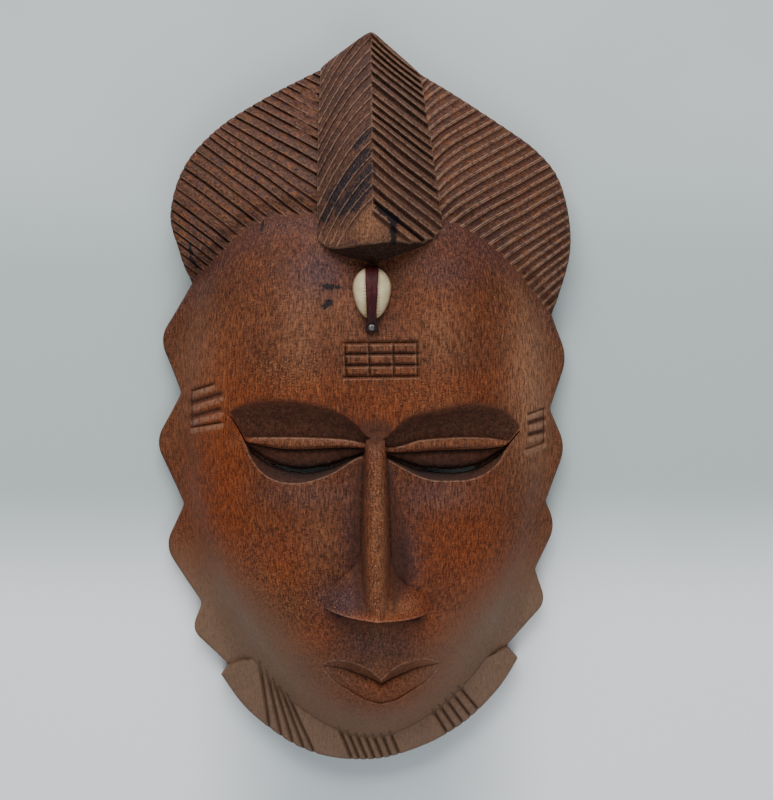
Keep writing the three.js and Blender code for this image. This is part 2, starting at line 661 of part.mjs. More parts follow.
// Marks cut into the forehead and the temples, those of the temples from x, y to x, y
const TEMPLE_CUTS = [
  [-70.8, 5.2, -61, 7.8], [-71, 0.2, -57.6, 3.8], [-71, -5.7, -57.8, -2.3], [-71, -10, -57.4, -7.8],
  [68.3, -4.3, 75.6, -2.2], [68.7, -8, 75.6, -6.3], [68.7, -12.8, 75.6, -11.5], [67.2, -18.7, 75.6, -16.4],
];

function markCutters() {
  const cut = (x0, y0, x1, y1, half = 0.7, depth = 1.2) =>
    veeCutter([[x0, y0], [x1, y1]], half, depth, faceZ);
  const forehead = [24, 19.6, 15.1, 10.6].map((y) => cut(-6.6, y, 22.2, y + 0.3));
  const bars = [-6.4, 3, 12.6, 22].map((x) => cut(x, 24.1, x + 0.3, 10.5, 0.5, 0.9));
  const temples = TEMPLE_CUTS.map(([x0, y0, x1, y1]) => cut(x0, y0, x1, y1, 1, 1.2));
  const ends = [cut(-71.1, 4.4, -70.9, -10.2, 0.5, 0.9), cut(75.6, -2.2, 75.6, -16.3, 0.5, 0.9)];
  return [...forehead, ...bars, ...temples, ...ends];
}

// The hollow of the back and the hole that a wall nail goes in
function hollowCutter() {
  const profile = spaced(0, 1, 7).map((t) => {
    const a = (t * Math.PI) / 2;
    return new THREE.Vector2(Math.cos(a) ** 0.75, HOLLOW_DEPTH * Math.sin(a) ** 0.9);
  });
  profile[profile.length - 1].x = 0;
  const lathe = new THREE.LatheGeometry([new THREE.Vector2(0, -2), new THREE.Vector2(1, -2), ...profile], 24);
  lathe.rotateX(Math.PI / 2);
  const at = lathe.attributes.position;
  for (let i = 0; i < at.count; i += 1) {
    const [u, v] = [at.getX(i), at.getY(i)];
    const y = -20 + v * (v > 0 ? 82 : 96);
    const x = eggX(y) + 1 + u * HOLLOW_HALF_WIDTH * (1 - 0.08 * v * v);
    at.setXYZ(i, x, y, at.getZ(i) < -1.5 ? at.getZ(i) : Math.abs(at.getZ(i)));
  }
  return solidOf(lathe);
}

const HANGING_HOLE = { x: 3, y: 112, radius: 4, depth: 12 };

function carvedWood() {
  const outline = maskOutline();
  const face = faceSolid().intersect(prism(outline, 0, BLANK_DEPTH));
  const { x, y, radius, depth } = HANGING_HOLE;
  const holes = [hollowCutter(), bore(x, y, radius, -2, depth), slitCutter(-1), slitCutter(1)];
  const cutters = [...holes, ...markCutters(), ...collarGrooves()];
  const block = face.add(collarSolid(outline)).add(headdress(outline));
  return cutters.reduce((wood, cutter) => wood.subtract(cutter), block);
}

// The shell, the strap and the nail on the forehead
const SHELL = { x: 4.1, top: 54.4, bottom: 33.2, halfWidth: 7.7, height: 7.2, edge: 1.6, widestAt: 0.4 };
const STRAP = { top: 55.2, bottom: 28, halfTop: 2.5, halfBottom: 2.1, thickness: 1.1 };
const NAIL = { x: 4.1, y: 29.9, head: 1.35, headHeight: 0.8, shank: 0.7, length: 8 };

// Half the width of the shell at y: an egg with its blunt end up
function shellHalf(y) {
  const t = clamp((SHELL.top - y) / (SHELL.top - SHELL.bottom), 0, 1);
  const u = t < SHELL.widestAt ? 1 - t / SHELL.widestAt : (t - SHELL.widestAt) / (1 - SHELL.widestAt);
  return SHELL.halfWidth * Math.max(1 - u ** (t < SHELL.widestAt ? 2 : 1.75), 0) ** 0.5;
}

function shellTopZ(x, y) {
  const half = shellHalf(y);
  const across = Math.abs(x - SHELL.x) / Math.max(half, 1e-6);
  if (across >= 1) return 0;
  const tall = (half / SHELL.halfWidth) ** 0.8;
  const aperture = 0.9 * Math.exp(-(((x - SHELL.x) / 1.1) ** 2)) * tall;
  const rise = SHELL.edge + (SHELL.height - SHELL.edge) * (1 - across ** 2.2) ** 0.6;
  return faceZ(x, y) + GAP + tall * rise - aperture;
}

// A closed body between two sheets of points with the same outline, the upper one first
function betweenSheets(upper, lower) {
  const rows = upper.length;
  const columns = upper[0].length;
  const at = (sheet, i, j) => (sheet * rows + i) * columns + j;
  const triangles = [];
  const quad = (a, b, c, d) => triangles.push([a, b, c], [a, c, d]);
  for (let i = 0; i < rows - 1; i += 1) {
    for (let j = 0; j < columns - 1; j += 1) {
      quad(at(0, i, j), at(0, i, j + 1), at(0, i + 1, j + 1), at(0, i + 1, j));
      quad(at(1, i, j), at(1, i + 1, j), at(1, i + 1, j + 1), at(1, i, j + 1));
    }
    quad(at(1, i + 1, 0), at(1, i, 0), at(0, i, 0), at(0, i + 1, 0));
    quad(at(1, i, columns - 1), at(1, i + 1, columns - 1), at(0, i + 1, columns - 1), at(0, i, columns - 1));
  }
  for (let j = 0; j < columns - 1; j += 1) {
    quad(at(1, 0, j), at(1, 0, j + 1), at(0, 0, j + 1), at(0, 0, j));
    quad(at(1, rows - 1, j + 1), at(1, rows - 1, j), at(0, rows - 1, j), at(0, rows - 1, j + 1));
  }
  return closedSolid([...upper.flat(), ...lower.flat()], triangles);
}

function shellSolid() {
  const ys = spaced(1, -1, 12).map((u) => {
    const t = (1 - Math.sin((u * Math.PI) / 2)) / 2;
    return mix(SHELL.bottom + 0.15, SHELL.top - 0.15, t);
  });
  const across = spaced(-1, 1, 11).map((u) => 0.985 * Math.sin((u * Math.PI) / 2));
  const sheet = (height) => ys.map((y) => across.map((u) => {
    const x = SHELL.x + u * shellHalf(y);
    return [x, y, height(x, y)];
  }));
  return betweenSheets(sheet(shellTopZ), sheet((x, y) => faceZ(x, y) + GAP));
}

// Underside of the strap, pulled tight over the shell: the upper hull of all that lies under it
function strapLine() {
  const ys = spaced(STRAP.bottom, STRAP.top, 20);
  const under = ys.map((y) => {
    const heights = spaced(-STRAP.halfTop, STRAP.halfTop, 11).map((dx) =>
      Math.max(faceZ(SHELL.x + dx, y) + GAP, shellTopZ(SHELL.x + dx, y) + GAP * 1.5),
    );
    return [y, Math.max(...heights)];
  });
  const hull = [];
  for (const [y, z] of under) {
    while (hull.length > 1) {
      const [[y0, z0], [y1, z1]] = hull.slice(-2);
      if ((z1 - z0) * (y - y0) > (z - z0) * (y1 - y0)) break;
      hull.pop();
    }
    hull.push([y, z]);
  }
  return hull;
}

function strapSolid() {
  const line = strapLine();
  const sheet = (lift) => line.map(([y, z]) => {
    const half = mix(STRAP.halfBottom, STRAP.halfTop, (y - STRAP.bottom) / (STRAP.top - STRAP.bottom));
    return [-1, -0.5, 0, 0.5, 1].map((u) => [SHELL.x + u * half, y, z + lift]);
  });
  const hole = bore(NAIL.x, NAIL.y, NAIL.shank + GAP, 0, BLANK_DEPTH);
  return betweenSheets(sheet(STRAP.thickness), sheet(0)).subtract(hole);
}

function bore(x, y, radius, low, high) {
  const cylinder = new THREE.CylinderGeometry(radius, radius, high - low, 16);
  cylinder.rotateX(Math.PI / 2);
  cylinder.translate(x, y, (low + high) / 2);
  return solidOf(cylinder);
}

// Height of the strap's upper face at the nail
function strapTopZ(y) {
  const line = strapLine();
  const i = line.findIndex((p) => p[0] > y);
  const [[y0, z0], [y1, z1]] = [line[i - 1], line[i]];
  return mix(z0, z1, (y - y0) / (y1 - y0)) + STRAP.thickness;
}

function nailSolid() {
  const seat = Math.max(strapTopZ(NAIL.y - NAIL.head), strapTopZ(NAIL.y + NAIL.head)) + GAP;
  const { head, headHeight, shank, length } = NAIL;
  const profile = [
    [0, -length], [shank * 0.5, -length + 1.2], [shank, -length + 2.4], [shank, 0],
    [head, 0], [head, headHeight * 0.4], [head * 0.75, headHeight * 0.85], [0, headHeight],
  ];
  const lathe = new THREE.LatheGeometry(profile.map(([r, z]) => new THREE.Vector2(r, z)), 16);
  lathe.rotateX(Math.PI / 2);
  lathe.translate(NAIL.x, NAIL.y, seat);
  return solidOf(lathe);
}

const nailPocket = bore(NAIL.x, NAIL.y, NAIL.shank + GAP, strapTopZ(NAIL.y) - NAIL.length - 0.5, BLANK_DEPTH);
const pieces = [
  ["carved_mask", carvedWood().subtract(nailPocket), 0x6b3a22, 0.5],
  ["cowrie_shell", shellSolid(), 0xe8dcc8, 0.3],
  ["leather_strap", strapSolid(), 0x3a1a1c, 0.7],
  ["nail", nailSolid(), 0x8a8a88, 0.4],
];

const mask = new THREE.Group();
for (const [name, solid, color, roughness] of pieces) {
  const mesh = new THREE.Mesh(geometryOf(solid), new THREE.MeshStandardMaterial({ color, roughness }));
  mesh.name = name;
  mask.add(mesh);
}

export default mask;
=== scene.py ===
# A carved wooden face mask with a cowrie on its forehead, lying on its back on a pale floor.
# The shapes are worked out in millimetres, in the CAD frame, and the meshes are built in metres.
import math

import bpy
import numpy as np
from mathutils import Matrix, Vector, kdtree
from mathutils.geometry import delaunay_2d_cdt


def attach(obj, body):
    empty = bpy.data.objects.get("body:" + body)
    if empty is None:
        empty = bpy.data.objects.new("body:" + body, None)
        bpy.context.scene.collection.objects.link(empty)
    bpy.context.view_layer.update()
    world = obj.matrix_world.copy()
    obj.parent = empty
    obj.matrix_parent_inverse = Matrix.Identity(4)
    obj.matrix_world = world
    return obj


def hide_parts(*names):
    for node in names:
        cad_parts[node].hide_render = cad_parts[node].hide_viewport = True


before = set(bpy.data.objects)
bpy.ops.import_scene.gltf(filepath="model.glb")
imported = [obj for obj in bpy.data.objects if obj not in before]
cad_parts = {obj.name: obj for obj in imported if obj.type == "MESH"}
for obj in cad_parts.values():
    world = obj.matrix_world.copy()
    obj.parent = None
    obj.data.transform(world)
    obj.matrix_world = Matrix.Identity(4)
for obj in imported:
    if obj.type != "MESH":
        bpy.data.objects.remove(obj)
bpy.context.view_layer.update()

MM = 0.001
FAR_BELOW = -80.0  # lower than anything, where a form isn't there
FAR_AWAY = 9.0  # further than any worn or dirty line reaches, in its own widths

# The face
FLANGE_Z = 7.0
DOME_RISE = 39.0
DOME_POWER = 2.3
DOME_ROOT = 0.58  # lower is blunter at the edge
FACE_HALF_WIDTH = 76.5
JAW_X = 3.0
EDGE_START = 0.955  # of the way out, where the dome goes on straight
FACE_WIDEST_Y = -10.0
FACE_TOP = 120.0
FACE_BOTTOM = 130.0
UPPER_POWER = 2.5
LOWER_POWER = 1.85
FILLET = 10.0
SOCKET_DEPTH = 6.8
SLIT_DEPTH = 9.0
SLIT_HALF = 0.95
SLIT_INNER = 17.0
SLIT_OUTER = 43.0
LID_HEIGHT = 1.9
EYE_END = 59.5
NOSE_TOP = -14.0
WING_START = -54.0
WING_HEIGHT = 15.0
WING_EDGE = 5.5
WING_END = 20.8
MOUTH_HALF_WIDTH = 23.5

# The headdress, the collar and the back
HAIR_EDGE_Z = 13.0
HAIR_RISE = 23.5
HAIR_MIDDLE = (2, 70)
HAIR_REACH = (84, 76)  # half width and half height
RIGHT_LINE_Y = 118.9  # where the first groove of the right lobe crosses RIGHT_LINE_X
RIGHT_LINE_X = 48.2
RIGHT_LINE_LEAN = 0.62
RIGHT_LINE_PITCH = 4.62
COLLAR_Z = 11.0
CREST_HEIGHT_TOP = 15.0
CREST_HEIGHT_END = 22.0
RIDGE_X = 4.9
RIDGE_LEAN = 0.012
RIDGE_START = 57.0
CREST_FOOT_Y = (41.3, 63.5, 65)  # the end of the crest in the middle, on its left and on its right
CREST_LIP_Y = (69.5, 68.5, 79.6)
CREST_BULGE = 4.3
CREST_END_RISE = 81.0
HOLLOW_HALF_WIDTH = 64.0
HOLLOW_DEPTH = 31.5
HOLLOW_Y = -20.0
HOLLOW_UP = 82.0
HOLLOW_DOWN = 96.0
HOLLOW_TAPER = 0.08
HANGING_HOLE = (3.0, 112.0, 4.0, 12.0)  # x, y, radius and depth
EDGE_ROUNDING = 1.6
BACK_ROUNDING = 1.0

# The shell, the strap and the nail
FEATURE_X = 4.1
SHELL_TOP = 54.4
SHELL_BOTTOM = 33.2
SHELL_HALF = 7.7
SHELL_HEIGHT = 7.2
SHELL_WIDEST = 0.4
STRAP_TOP = 55.2
STRAP_BOTTOM = 28.0
STRAP_THICKNESS = 1.1
NAIL_Y = 29.9
NAIL_HEAD = 1.35
NAIL_SHANK = 0.7
NAIL_LENGTH = 8.0
NAIL_SIDES = 32
TOOTH_PITCH = 1.25
CREASE = 0.28  # depth and half width of the fold along the strap
STRAP_EDGE = 0.5
GAP = 0.3

# How far apart the loose points of the mesh are
FACE_SPACING = 1.15
HAIR_SPACING = 1.6
BACK_SPACING = 2.6

# Outline, seen from the front
OUTLINE_STEP = 1.3
CREST_TOP = [
    (23.7, 138.2), (16.6, 144.2), (9.6, 149.3), (3.2, 152.6), (-4.4, 149), (-13, 143.8), (-17.5, 140.1),
]
HAIR_LEFT = [
    (-17.5, 140.1), (-41.6, 127.4), (-61.7, 114.8), (-75.4, 99.7), (-81.2, 80), (-77.3, 64.4), (-72.4, 50.8),
]
SCALLOPS_LEFT = [
    (-86.9, 27.8), (-76.9, 4.5), (-88.7, -16), (-75.9, -42.5), (-84.7, -60.8), (-68.7, -84.8), (-73.1, -96.3),
]
COLLAR_START = (-57.2, -111.2)
COLLAR_EDGE = [
    (-60.5, -115.2), (-47.6, -131.6), (-24.6, -146.8), (0.8, -150.8), (21.2, -146.4), (41.1, -136.4),
    (57, -121.4), (65.6, -108.2),
]
COLLAR_STOP = (60.7, -103.4)
SCALLOPS_RIGHT = [
    (77.8, -84.4), (73, -70.4), (82.2, -51.8), (77.3, -41.5), (86.4, -18.3), (79, -2.4), (87, 19.6),
]
HAIR_RIGHT = [
    (80, 37.6), (86.3, 57.8), (87.7, 70.4), (85.8, 84.6), (81.1, 97.3), (71.4, 107.4), (57, 116.9),
    (23.7, 138.2),
]
TIP_ROUNDING = [7, 1.5, 7, 1.5, 7, 1.5, 5]  # tips are blunt and the valleys between them are crisp


def columns(*values):
    return np.column_stack(values)


def closed(loop):
    return np.vstack([loop, loop[:1]])


def mix(a, b, t):
    return a + (b - a) * t


def smooth_step(low, high, v):
    t = np.clip((v - low) / (high - low), 0, 1)
    return t * t * (3 - 2 * t)


def smooth_max(a, b, k):
    h = np.maximum(k - np.abs(a - b), 0) / k
    return np.maximum(a, b) + h * h * k / 4


def smooth_min(a, b, k):
    return -smooth_max(-a, -b, k)


def through(points):
    """A smooth curve through (x, y) points, straight beyond its ends."""
    xs, ys = np.array(points, float).T
    last = len(xs) - 1
    before = np.maximum(np.arange(last + 1) - 1, 0)
    after = np.minimum(np.arange(last + 1) + 1, last)
    slopes = (ys[after] - ys[before]) / (xs[after] - xs[before])

    def curve(x):
        x = np.asarray(x, float)
        i = np.clip(np.searchsorted(xs, x) - 1, 0, last - 1)
        width = xs[i + 1] - xs[i]
        t = np.clip((x - xs[i]) / width, 0, 1)
        rest = 1 - t
        start = ys[i] * (1 + 2 * t) * rest**2 + slopes[i] * width * t * rest**2
        end = ys[i + 1] * (3 - 2 * t) * t**2 - slopes[i + 1] * width * t**2 * rest
        return start + end + slopes[0] * np.minimum(x - xs[0], 0) + slopes[-1] * np.maximum(x - xs[-1], 0)

    return curve


def two_sided(left, right):
    """A curve with other points on the right than on the left."""
    left, right = through(left), through(right)
    return lambda v, on_right: np.where(on_right, right(v), left(v))


def rumple(x, y, size, seed):
    """Smooth noise from -1 to 1, in lumps about size millimetres across."""
    count = 64
    lattice = np.random.default_rng(seed).uniform(-1, 1, (count, count))
    u = np.asarray(x) / size + 10 * count
    v = np.asarray(y) / size + 10 * count
    i = np.floor(u).astype(int)
    j = np.floor(v).astype(int)
    right = smooth_step(0, 1, u - i)
    low, high = [
        mix(lattice[i % count, row % count], lattice[(i + 1) % count, row % count], right)
        for row in (j, j + 1)
    ]
    return mix(low, high, smooth_step(0, 1, v - j))


def luck(k, seed):
    """A number from -1 to 1 that belongs to groove k."""
    count = 128
    return np.random.default_rng(seed).uniform(-1, 1, count)[np.asarray(k).astype(int) % count]


def spot(x, y, cx, cy, rx, ry):
    """A soft patch: 1 in its middle, fading out."""
    return np.exp(-(((x - cx) / rx) ** 2) - ((y - cy) / ry) ** 2)


def spline(points, count):
    """A Catmull-Rom curve through the points."""
    p = np.array(points, float)
    last = len(p) - 1
    places = np.linspace(0, last, count + 1)
    i = np.minimum(places.astype(int), last - 1)
    t = (places - i)[:, None]
    p0, p1, p2, p3 = p[np.maximum(i - 1, 0)], p[i], p[i + 1], p[np.minimum(i + 2, last)]
    v0 = (p2 - p0) / 2
    v1 = (p3 - p1) / 2
    return (2 * p1 - 2 * p2 + v0 + v1) * t**3 + (3 * p2 - 3 * p1 - 2 * v0 - v1) * t**2 + v0 * t + p1


def rounded(before, corners, after, cuts, steps=8):
    """The corners of a zigzag, each rounded by a short curve that starts that far before it."""
    every = np.array([before, *corners, after], float)
    curves = []
    for i, cut in enumerate(cuts):
        at = every[i + 1]
        start, end = [at + (to - at) * cut / np.linalg.norm(to - at) for to in (every[i], every[i + 2])]
        t = np.linspace(0, 1, steps + 1)[:, None]
        curves.append(start * (1 - t) ** 2 + at * 2 * t * (1 - t) + end * t**2)
    return np.vstack(curves)


def respaced(line, step):
    """The same line with its points at most step apart."""
    line = np.asarray(line, float)
    pieces = [line[:1]]
    for a, b in zip(line[:-1], line[1:]):
        count = max(int(np.ceil(np.linalg.norm(b - a) / step)), 1)
        t = np.linspace(0, 1, count + 1)[1:, None]
        pieces.append(a + (b - a) * t)
    return np.vstack(pieces)


def mask_outline():
    """The outline of the mask as a closed line without its last point, anticlockwise from the crest."""
    parts = [
        spline(HAIR_LEFT, 60),
        rounded(HAIR_LEFT[-1], SCALLOPS_LEFT, COLLAR_START, TIP_ROUNDING),
        [COLLAR_START],
        spline(COLLAR_EDGE, 60),
        [COLLAR_STOP],
        rounded(COLLAR_STOP, SCALLOPS_RIGHT, HAIR_RIGHT[0], TIP_ROUNDING[::-1]),
        spline(HAIR_RIGHT, 70),
        spline(CREST_TOP, 32)[1:],
    ]
    return respaced(np.vstack(parts), OUTLINE_STEP)[:-1]


def inset(loop, distance):
    """The closed anticlockwise line moved inwards."""
    along = np.roll(loop, -1, 0) - np.roll(loop, 1, 0)
    inward = columns(-along[:, 1], along[:, 0])
    return loop + inward * (distance / np.linalg.norm(along, axis=1))[:, None]


def distance_to(line, x, y):
    """Distance from each point to a line through its own points, worked out in batches."""
    a = line[:-1]
    b = line[1:]
    span = b - a
    size = np.maximum((span**2).sum(1), 1e-12)
    batch = 4000
    out = []
    for i in range(0, len(x), batch):
        p = columns(x[i : i + batch], y[i : i + batch])[:, None, :]
        t = np.clip(((p - a) * span).sum(2) / size, 0, 1)
        out.append(np.sqrt(((p - a - span * t[..., None]) ** 2).sum(2).min(1)))
    return np.concatenate(out)


def inside(loop, x, y):
    """True for the points inside a closed line."""
    result = np.zeros(len(x), bool)
    for (x0, y0), (x1, y1) in zip(loop, np.roll(loop, -1, 0)):
        if y0 == y1:
            continue
        crosses = (y0 > y) != (y1 > y)
        result ^= crosses & (x < (x1 - x0) * (y - y0) / (y1 - y0) + x0)
    return result


# The face
nose_line = through([(-150, 8), (-112, 7.8), (-85, 6.3), (-60, 5.6), (-14, 5.5)])
LEFT_EYE = dict(
    brow=through([
        (0, -15.6), (3, -13.2), (8, -7.8), (12, -4.8), (17.5, -2.2), (27, 0.3), (34, 1.4), (47, 1.1),
        (52, 0.1), (55.5, -1.2), (59.5, -3.6),
    ]),
    lid_top=through([(0, -17), (6, -15.6), (14, -14.5), (30, -13.9), (52, -14)]),
    lid_low=through([(0, -18.4), (12, -17.5), (30, -18.1), (38, -18), (46, -16.8), (52, -15.8)]),
    slit=through([
        (0, -19.2), (5, -20.2), (12, -22.8), (17, -25), (27.5, -27.3), (35.6, -26.6), (43, -24), (50, -19),
    ]),
    rim=through([
        (0, -20), (3, -20.6), (8, -22.2), (16.5, -27.5), (25.8, -31), (33, -31.9), (40, -30.8), (45.7, -27.5),
        (50.2, -21.7), (53.1, -14.5), (58, -6.4), (59.5, -5.2),
    ]),
)
RIGHT_EYE = dict(
    brow=through([
        (0, -15.6), (3, -14), (6, -11.6), (11, -6.8), (15, -4.6), (23, -2.8), (29, -1.6), (36, -0.3),
        (45, -0.7), (52, -2.6), (56, -5.6), (59.5, -10),
    ]),
    lid_top=through([
        (0, -17), (6, -17.8), (11, -17), (17, -15.1), (23, -14.5), (32, -14), (44, -14.2), (55, -15.7),
    ]),
    lid_low=through([
        (0, -18.4), (6, -19.6), (14, -19.4), (23, -18.6), (45, -18.2), (52, -17.5), (55, -16.5),
    ]),
    slit=through([
        (0, -19.2), (5, -21), (11, -23.6), (17, -26), (23.3, -27), (29.5, -27.4), (34, -27.2), (38.7, -26.4),
        (42.7, -25.2), (50, -20.5),
    ]),
    rim=through([
        (0, -20), (3, -21.2), (7.6, -23.9), (16.4, -28.6), (23, -30.7), (32, -31), (38, -30.6), (45.2, -27.8),
        (50.5, -23.1), (53.1, -18.4), (58, -12.5), (59.5, -11.6),
    ]),
)
eye_strength = through([(0, 0.5), (6, 0.6), (14, 0.9), (25, 1), (38, 1), (48, 0.8), (55, 0.4), (59.5, 0)])
# The lower edge of the nose over the distance s out from its middle; the left end is higher
nose_base = two_sided(
    [(0, -84.3), (10, -83.5), (20.5, -81.7), (26, -80.5)],
    [(0, -84.3), (10, -84.7), (19.4, -84.3), (26, -83.6)],
)
nose_height = through([(-85, 19.5), (-60, 13), (-30, 6.3), (-20, 3.2), (-14, 0)])
# Half the width of the nose against y, without and with its wings
nose_half = through([(-150, 6), (-84, 6), (-60, 5.7), (-40, 5.3), (-25, 4.7), (-14, 3.7)])
nose_wing = two_sided(
    [(-85, 21.2), (-79, 20.8), (-74, 18.4), (-71, 15.4), (-68, 11.9), (-65, 8.9), (-60, 6.6), (-54, 5.5)],
    [
        (-85, 20.2), (-82, 19.6), (-78, 19), (-76, 18.2), (-74, 14.6), (-71, 10.2), (-67, 7.6), (-60, 6.3),
        (-54, 5.5),
    ],
)
mouth_top = through([
    (0, -113), (1.5, -111.3), (4.9, -108.2), (10, -105.7), (14.5, -104.5), (19, -104.5), (23.5, -106.2),
])
mouth_groove = through([
    (0, -115.1), (3, -113.2), (6.2, -111.6), (10.4, -109.9), (14.5, -108.2), (23.5, -106.5),
])
mouth_low = through([(0, -123.4), (6, -121.7), (10.2, -119.3), (14.5, -116.4), (18.6, -113.8), (23.5, -108)])


def egg_x(y):
    return 1 + 2 * smooth_step(-40, -140, y)


def egg_radius(x, y):
    """0 in the middle of the face's egg and 1 at its edge."""
    up = y > FACE_WIDEST_Y
    power = np.where(up, UPPER_POWER, LOWER_POWER)
    across = np.abs(x - egg_x(y)) / FACE_HALF_WIDTH
    along = np.abs(y - FACE_WIDEST_Y) / np.where(up, FACE_TOP, FACE_BOTTOM)
    return (across**power + along**power) ** (1 / power)


def dome_profile(radius):
    """Height of the dome over its edge, which is round and goes on straight past EDGE_START."""
    def curved(r):
        return DOME_RISE * (1 - r**DOME_POWER) ** DOME_ROOT

    step = 0.01
    slope = (curved(EDGE_START) - curved(EDGE_START - step)) / step
    return curved(np.minimum(radius, EDGE_START)) + slope * np.maximum(radius - EDGE_START, 0)


def dome_z(x, y):
    fillet = FILLET * smooth_step(-150, -100, y)
    return FLANGE_Z + smooth_max(dome_profile(egg_radius(x, y)), 0, 1 + fillet)


def eye_rows(s, eye):
    """Rows of an eye from the brow down, at s out from the nose: y, height off the dome, darkness."""
    edge = np.minimum(s, EYE_END)
    strength = np.where(s < EYE_END, np.maximum(eye_strength(s), 0), 0)
    socket = -SOCKET_DEPTH * strength
    slit_z = -SLIT_DEPTH * strength
    lid = LID_HEIGHT * np.minimum(1, strength * 1.5)
    low = eye["rim"](edge)
    top = np.maximum(eye["brow"](edge), low + 1.6)
    lid_top = np.clip(eye["lid_top"](edge), low + 1.1, top - 0.4)
    lid_low = np.clip(eye["lid_low"](edge), low + 0.8, lid_top - 0.2)
    slit = np.clip(eye["slit"](edge), low + 0.4, lid_low - 0.3)
    half = np.minimum(SLIT_HALF, np.minimum((lid_low - slit) / 3, (slit - low) / 3))
    floor = np.minimum(lid_top + 0.5, mix(lid_top, top, 0.3))
    ball = slit + half
    bevel = slit - half
    shade = smooth_step(EYE_END, EYE_END - 1.2, s)
    # The darkness is dark stain in the socket, with painted shade under the brow, under the lid and down into
    # the slit.
    rows = [
        (top + 1.6, 0 * s, 0),
        (top, socket * 0.03, 0.4),
        (mix(top, floor, 0.07), socket * 0.14, 0.75),
        (mix(top, floor, 0.2), socket * 0.38, 1),
        (mix(top, floor, 0.6), socket * 0.82, 1),
        (mix(top, floor, 0.85), socket * 0.97, 1),
        (floor, socket, 1),
        (mix(floor, lid_top, 0.5), socket + lid * 0.6, 0.7),
        (lid_top, socket + lid, 0),
        (mix(lid_top, lid_low, 0.3), socket + lid * 1.25, 0),
        (mix(lid_top, lid_low, 0.7), socket + lid * 1.25, 0.1),
        (lid_low, socket + lid * 0.75, 0.3),
        (mix(lid_low, ball, 0.07), socket - 0.5 * strength, 1.1),
        (mix(lid_low, ball, 0.35), socket - 0.25 * strength, 0.9),
        (mix(lid_low, ball, 0.7), socket - 0.6 * strength, 0.95),
        (mix(lid_low, ball, 0.9), mix(socket, slit_z, 0.5), 1.1),
        (ball, slit_z, 1.1),
        (bevel, slit_z, 1.1),
        (mix(bevel, low, 0.3), slit_z * 0.72, 1.05),
        (mix(bevel, low, 0.6), slit_z * 0.42, 0.98),
        (mix(bevel, low, 0.92), slit_z * 0.12, 0.88),
        (low, slit_z * 0.02, 0.1),
        (low - 0.4, 0 * s, 0),
    ]
    return [(y, z, dark * shade) for y, z, dark in rows]


def mouth_rows(s):
    """Rows of the mouth from its upper edge down: y, height off the face, darkness."""
    strength = np.maximum(1 - (s / MOUTH_HALF_WIDTH) ** 3, 0)
    at = np.minimum(s, MOUTH_HALF_WIDTH)
    top, groove, low = mouth_top(at), mouth_groove(at), mouth_low(at)
    # The darkness is dark wax with painted shade in the recessed mouth and along the step under the lower
    # lip.
    rows = [
        (top + 0.4, 0, 0),
        (top, -0.1, 0.2),
        (mix(top, groove, 0.15), -0.6, 0.55),
        (mix(top, groove, 0.8), -2.5, 0.6),
        (groove, -2.8, 0.8),
        (mix(groove, low, 0.07), -2.0, 0.2),
        (mix(groove, low, 0.2), -0.9, 0),
        (mix(groove, low, 0.4), -0.3, 0),
        (mix(groove, low, 0.85), -0.7, 0),
        (low, -1.2, 0.35),
        (low - 0.5, -0.1, 0),
        (low - 1.0, 0, 0),
    ]
    return [(y, z * strength, dark * strength) for y, z, dark in rows]


def along_rows(rows, y, column):
    """The height (column 1) or darkness (column 2) at y between rows, and 0 above and below them."""
    out = np.zeros_like(y)
    for upper, lower in zip(rows[:-1], rows[1:]):
        here = (y <= upper[0]) & (y > lower[0])
        t = np.clip((upper[0] - y) / np.maximum(upper[0] - lower[0], 1e-6), 0, 1)
        out = np.where(here, mix(upper[column], lower[column], t), out)
    return out


def from_nose(x, y):
    """The distance out from the nose line, and whether that is to its right."""
    away = x - nose_line(y)
    return np.abs(away), away > 0


def eyes(x, y, column):
    s, on_right = from_nose(x, y)
    left, right = [along_rows(eye_rows(s, eye), y, column) for eye in (LEFT_EYE, RIGHT_EYE)]
    return np.where(on_right, right, left)


def wing_width(y, right):
    """Half the width of the nose at y with its flaring side; the right side flares out later."""
    return np.maximum(nose_half(y), nose_wing(y, right))


def nose_z(x, y):
    s, right = from_nose(x, y)
    foot = nose_base(s, right)
    width = wing_width(y, right)
    flare = np.clip((WING_START - y) / (WING_START - foot), 0, 1)
    tube = nose_height(y) * np.maximum(1 - (s / nose_half(y)) ** 2.6, 0) ** 0.7
    out = np.minimum(s / width, 1)
    skirt = WING_HEIGHT * flare**1.3 * (1 - out) ** 0.7 + WING_EDGE * flare**4 * (1 - out**6)
    here = (y >= foot - 0.02) & (y <= NOSE_TOP) & (s <= width)
    return np.where(here, smooth_max(tube, skirt, 2.0), FAR_BELOW)


def face_z(x, y):
    s, _ = from_nose(x, y)
    beside = -1.2 * np.exp(-(((s - 9) / 3.5) ** 2)) * smooth_step(-22, -34, y) * smooth_step(-84, -70, y)
    form = np.maximum(eyes(x, y, 1) + beside, nose_z(x, y)) + along_rows(mouth_rows(s), y, 1)
    carving = 0.16 * rumple(x, y, 9, 1) + 0.06 * rumple(x, y, 3.5, 2)
    return dome_z(x, y) + form + carving


# The headdress
hairline = through([
    (-73, 50.3), (-62.2, 58), (-54, 65.6), (-45.9, 71.7), (-35.7, 75.2), (-25.4, 76.2), (-12, 75), (4, 72),
    (22, 74), (33.1, 73.8), (40, 71.9), (48.2, 67.8), (56.5, 61.3), (64.7, 53.9), (72.9, 44.9), (80.4, 36.6),
])
crest_right_x = through([(57, 34.6), (66, 33.5), (138.2, 23.9), (152, 22.2)])
crest_left_x = through([(57, -17.6), (66, -17.8), (102, -17.9), (140.1, -17.5), (152, -17.4)])


def between_crest_edges(x, y):
    return (x > crest_left_x(y)) & (x < crest_right_x(y))


def ridge_x(y):
    return RIDGE_X - RIDGE_LEAN * (y - RIDGE_START)


